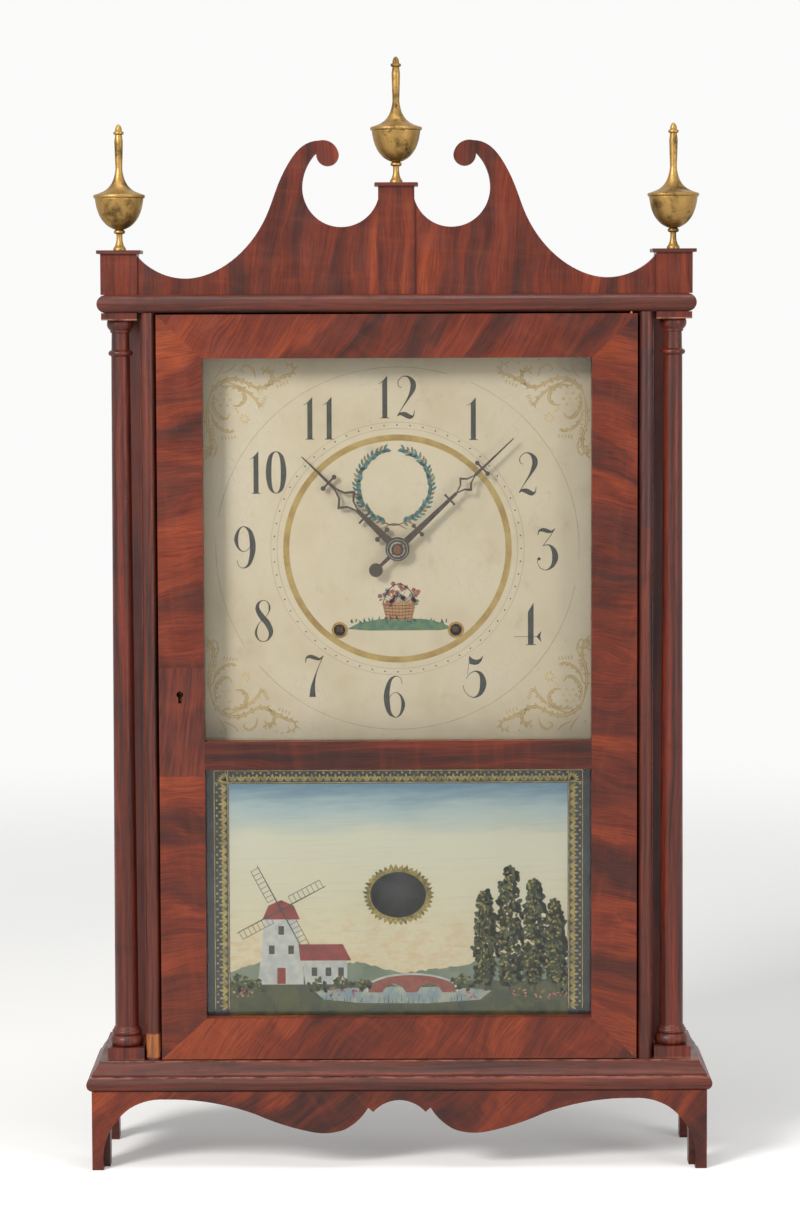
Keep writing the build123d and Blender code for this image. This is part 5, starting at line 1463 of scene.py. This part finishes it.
bridge = [
    (-22, 124), (-20, 130.5), (-8, 135.0), (8, 136.6), (24, 135.4), (38, 131.0), (41, 124), (31, 124),
    (28, 128.6), (22, 130.6), (16, 128.6), (13, 124), (5, 124), (2, 128.6), (-4, 130.6), (-9, 128.2),
    (-12, 124),
]
brick.append(slab(bridge, layer - 0.04, layer - 0.02))
coping = [
    (-23, 124.6, 1.3), (-20, 130.9, 1.3), (-8, 135.6, 1.3), (8, 137.2, 1.3), (24, 136.0, 1.3),
    (38, 131.4, 1.3), (42, 124.6, 1.3),
]
mill_white.append(brush(coping, layer - 0.06, layer - 0.04))
painted(
    "picture_mill_walls",
    mill_white,
    "door",
    paint("mill_white", (214, 212, 204), 19.0, other=(190, 192, 188), scale=0.008),
    "painted_glass",
)
painted(
    "picture_mill_roofs",
    mill_red,
    "door",
    paint("mill_red", (158, 44, 34), 20.0, other=(122, 34, 28), scale=0.006),
    "painted_glass",
)
painted(
    "picture_bridge",
    brick,
    "door",
    paint("bridge_brick", (134, 56, 42), 21.0, other=(166, 84, 62), scale=0.003),
    "painted_glass",
)
painted(
    "picture_mill_sails",
    mill_dark,
    "door",
    paint("mill_dark", (46, 44, 40), 22.0, other=(74, 60, 46)),
    "painted_glass",
)

trunks, dark_dabs, olive_dabs, yellow_dabs, bloom_dabs = [], [], [], [], []
for x, foot, height, width in (
    (62, 127, 66, 8.0), (79, 126, 84, 9.5), (97, 127, 74, 8.6), (112, 128, 58, 7.6)
):
    trunks.append(
        brush(
            [(x, foot - 2, 2.2), (x + 0.6, foot + 10, 1.5), (x, foot + height * 0.7, 0.6)],
            layer - 0.05,
            layer - 0.03,
            4,
        )
    )
    for level in range(9):
        share = level / 8
        half = width * (0.55 + 0.6 * math.sin(math.pi * min(1.0, share * 0.86 + 0.16)))
        centre = (x + chance.uniform(-0.8, 0.8), foot + 8 + share * (height - 10))
        dark_dabs.extend(dabs(centre, (half, 6.4), 40, 2.4, layer - 0.07))
        olive_dabs.extend(dabs((centre[0] - 1.2, centre[1] + 0.8), (half * 0.8, 5.4), 18, 1.6, layer - 0.09))
        yellow_dabs.extend(dabs((centre[0] - 2.0, centre[1] + 1.2), (half * 0.66, 4.8), 5, 1.1, layer - 0.11))
for x, z, w, h, count in (
    (-114, 131, 9, 7, 34), (-104, 128, 10, 6, 26), (-40, 131, 8, 5, 26), (46, 131, 9, 6, 30),
    (118, 130, 8, 8, 30), (-26, 129, 7, 4, 20), (-58, 129, 8, 5, 22),
):
    dark_dabs.extend(dabs((x, z), (w, h), count, 1.8, layer - 0.07))
    olive_dabs.extend(dabs((x - 0.6, z + 1.2), (w * 0.8, h * 0.7), count // 2, 1.3, layer - 0.09))
    yellow_dabs.extend(dabs((x, z + 2.0), (w * 0.7, h * 0.5), count // 5, 0.9, layer - 0.11))
for x in (-112, -46, -34, 50, 86, 104, 117):
    bloom_dabs.extend(dabs((x, 122 + chance.uniform(-2, 3)), (7, 3.4), 12, 0.85, layer - 0.11, 0.9))
for _ in range(150):
    x = chance.uniform(-119, 119)
    olive_dabs.append(
        brush(
            [
                (x, 112.6 + chance.uniform(0, 5), 0.5),
                (x + chance.uniform(-1, 1), 117 + chance.uniform(0, 6), 0.2),
            ],
            layer - 0.06,
            layer - 0.04,
            1,
        )
    )
painted("picture_trunks", trunks, "door", paint("trunk_brown", (92, 56, 38), 23.0), "painted_glass")
painted(
    "picture_dark_leaves",
    dark_dabs,
    "door",
    paint("foliage_dark", (46, 52, 22), 24.0, other=(74, 78, 30), scale=0.006),
    "painted_glass",
)
painted(
    "picture_olive_leaves",
    olive_dabs,
    "door",
    paint("foliage_olive", (92, 94, 38), 25.0, other=(74, 84, 40), scale=0.006),
    "painted_glass",
)
painted(
    "picture_yellow_leaves",
    yellow_dabs,
    "door",
    paint("foliage_yellow", (168, 148, 62), 26.0, other=(140, 132, 56), scale=0.006),
    "painted_glass",
)
painted(
    "picture_blooms",
    bloom_dabs,
    "door",
    paint("bloom_pink", (176, 82, 84), 27.0, other=(206, 150, 120), scale=0.006),
    "painted_glass",
)

# Floor that fades into the pale surroundings, lamps and camera



def shown_rays(finish):
    """1 for the rays that show the surroundings: straight from the camera, mirrored, or through glass."""
    direct = finish.node("LightPath", out="Is Camera Ray")
    mirrored = finish.node("LightPath", out="Is Glossy Ray")
    through = finish.node("LightPath", out="Is Transmission Ray")
    return finish.greatest(finish.greatest(direct, mirrored), through)


FLOOR_HALF = 2.6
FADE_START, FADE_END = 700.0, 2400.0
floor_paint = Finish("floor_pale")
pale = (0.80, 0.80, 0.79)
matt = floor_paint.node("BsdfDiffuse", (), {"Color": pale})
glow = floor_paint.node("Emission", (), {"Color": pale, "Strength": 0.30})
lit = floor_paint.node("AddShader", (), {0: matt, 1: glow})
near_floor = floor_paint.node("MixShader", (), {0: shown_rays(floor_paint), 1: matt, 2: lit})
floor_x, floor_y, _ = floor_paint.axes()
away = floor_paint.sum("SQRT", floor_x * floor_x + floor_y * floor_y)
open_floor = floor_paint.node("BsdfTransparent", (), {"Color": (1.0, 1.0, 1.0)})
floor_paint.finish_with(
    floor_paint.node(
        "MixShader", (), {0: floor_paint.step(away, FADE_START, FADE_END), 1: near_floor, 2: open_floor}
    )
)
floor_mesh = bpy.data.meshes.new("floor")
floor_corners = [(FLOOR_HALF * x, FLOOR_HALF * y, 0.0) for x, y in ((-1, -1), (1, -1), (1, 1), (-1, 1))]
floor_mesh.from_pydata(floor_corners, [], [(0, 1, 2, 3)])
floor = bpy.data.objects.new("floor", floor_mesh)
bpy.context.scene.collection.objects.link(floor)
floor_mesh.materials.append(floor_paint.material)


def lamp(name, place, target, size, power, tone=(1.0, 1.0, 1.0)):
    """A soft rectangular lamp turned towards a target."""
    light = bpy.data.lights.new(name, "AREA")
    light.shape = "RECTANGLE"
    light.size, light.size_y = size
    light.energy = power
    light.color = tone
    holder = bpy.data.objects.new(name, light)
    holder.location = place
    holder.rotation_mode = "QUATERNION"
    holder.rotation_quaternion = (Vector(target) - Vector(place)).to_track_quat("-Z", "Y")
    bpy.context.scene.collection.objects.link(holder)


lamp("key_lamp", (-1.7, -2.3, 1.9), (0, 0, 0.38), (0.9, 0.9), 104.0, (1.0, 0.985, 0.96))
lamp("fill_lamp", (2.2, -2.2, 1.0), (0, 0, 0.35), (1.2, 1.6), 30.0)
lamp("top_lamp", (0.2, -0.6, 2.6), (0, 0, 0.5), (1.6, 0.9), 22.0)

AMBIENT = 0.26
studio = Finish("studio", bpy.data.worlds.new("studio"))
surround = {"Color": (0.96, 0.96, 0.955), "Strength": shown_rays(studio) * (1.0 - AMBIENT) + AMBIENT}
studio.finish_with(studio.node("Background", (), surround))
bpy.context.scene.world = studio.material

CAMERA_PLACE = (0.0, -2.641, 0.616)
CAMERA_TILT, CAMERA_ROLL = 4.8, -0.2
camera_data = bpy.data.cameras.new("camera")
camera_data.sensor_width = 36.0
camera_data.lens = 108.5
camera_data.shift_x = 0.0019
camera_data.clip_end = 30.0
camera = bpy.data.objects.new("camera", camera_data)
camera.matrix_world = (
    Matrix.Translation(CAMERA_PLACE)
    @ Matrix.Rotation(math.radians(90.0 - CAMERA_TILT), 4, "X")
    @ Matrix.Rotation(math.radians(CAMERA_ROLL), 4, "Z")
)
bpy.context.scene.collection.objects.link(camera)
bpy.context.scene.camera = camera
bpy.context.scene.view_settings.view_transform = "Standard"

bpy.context.view_layer.update()
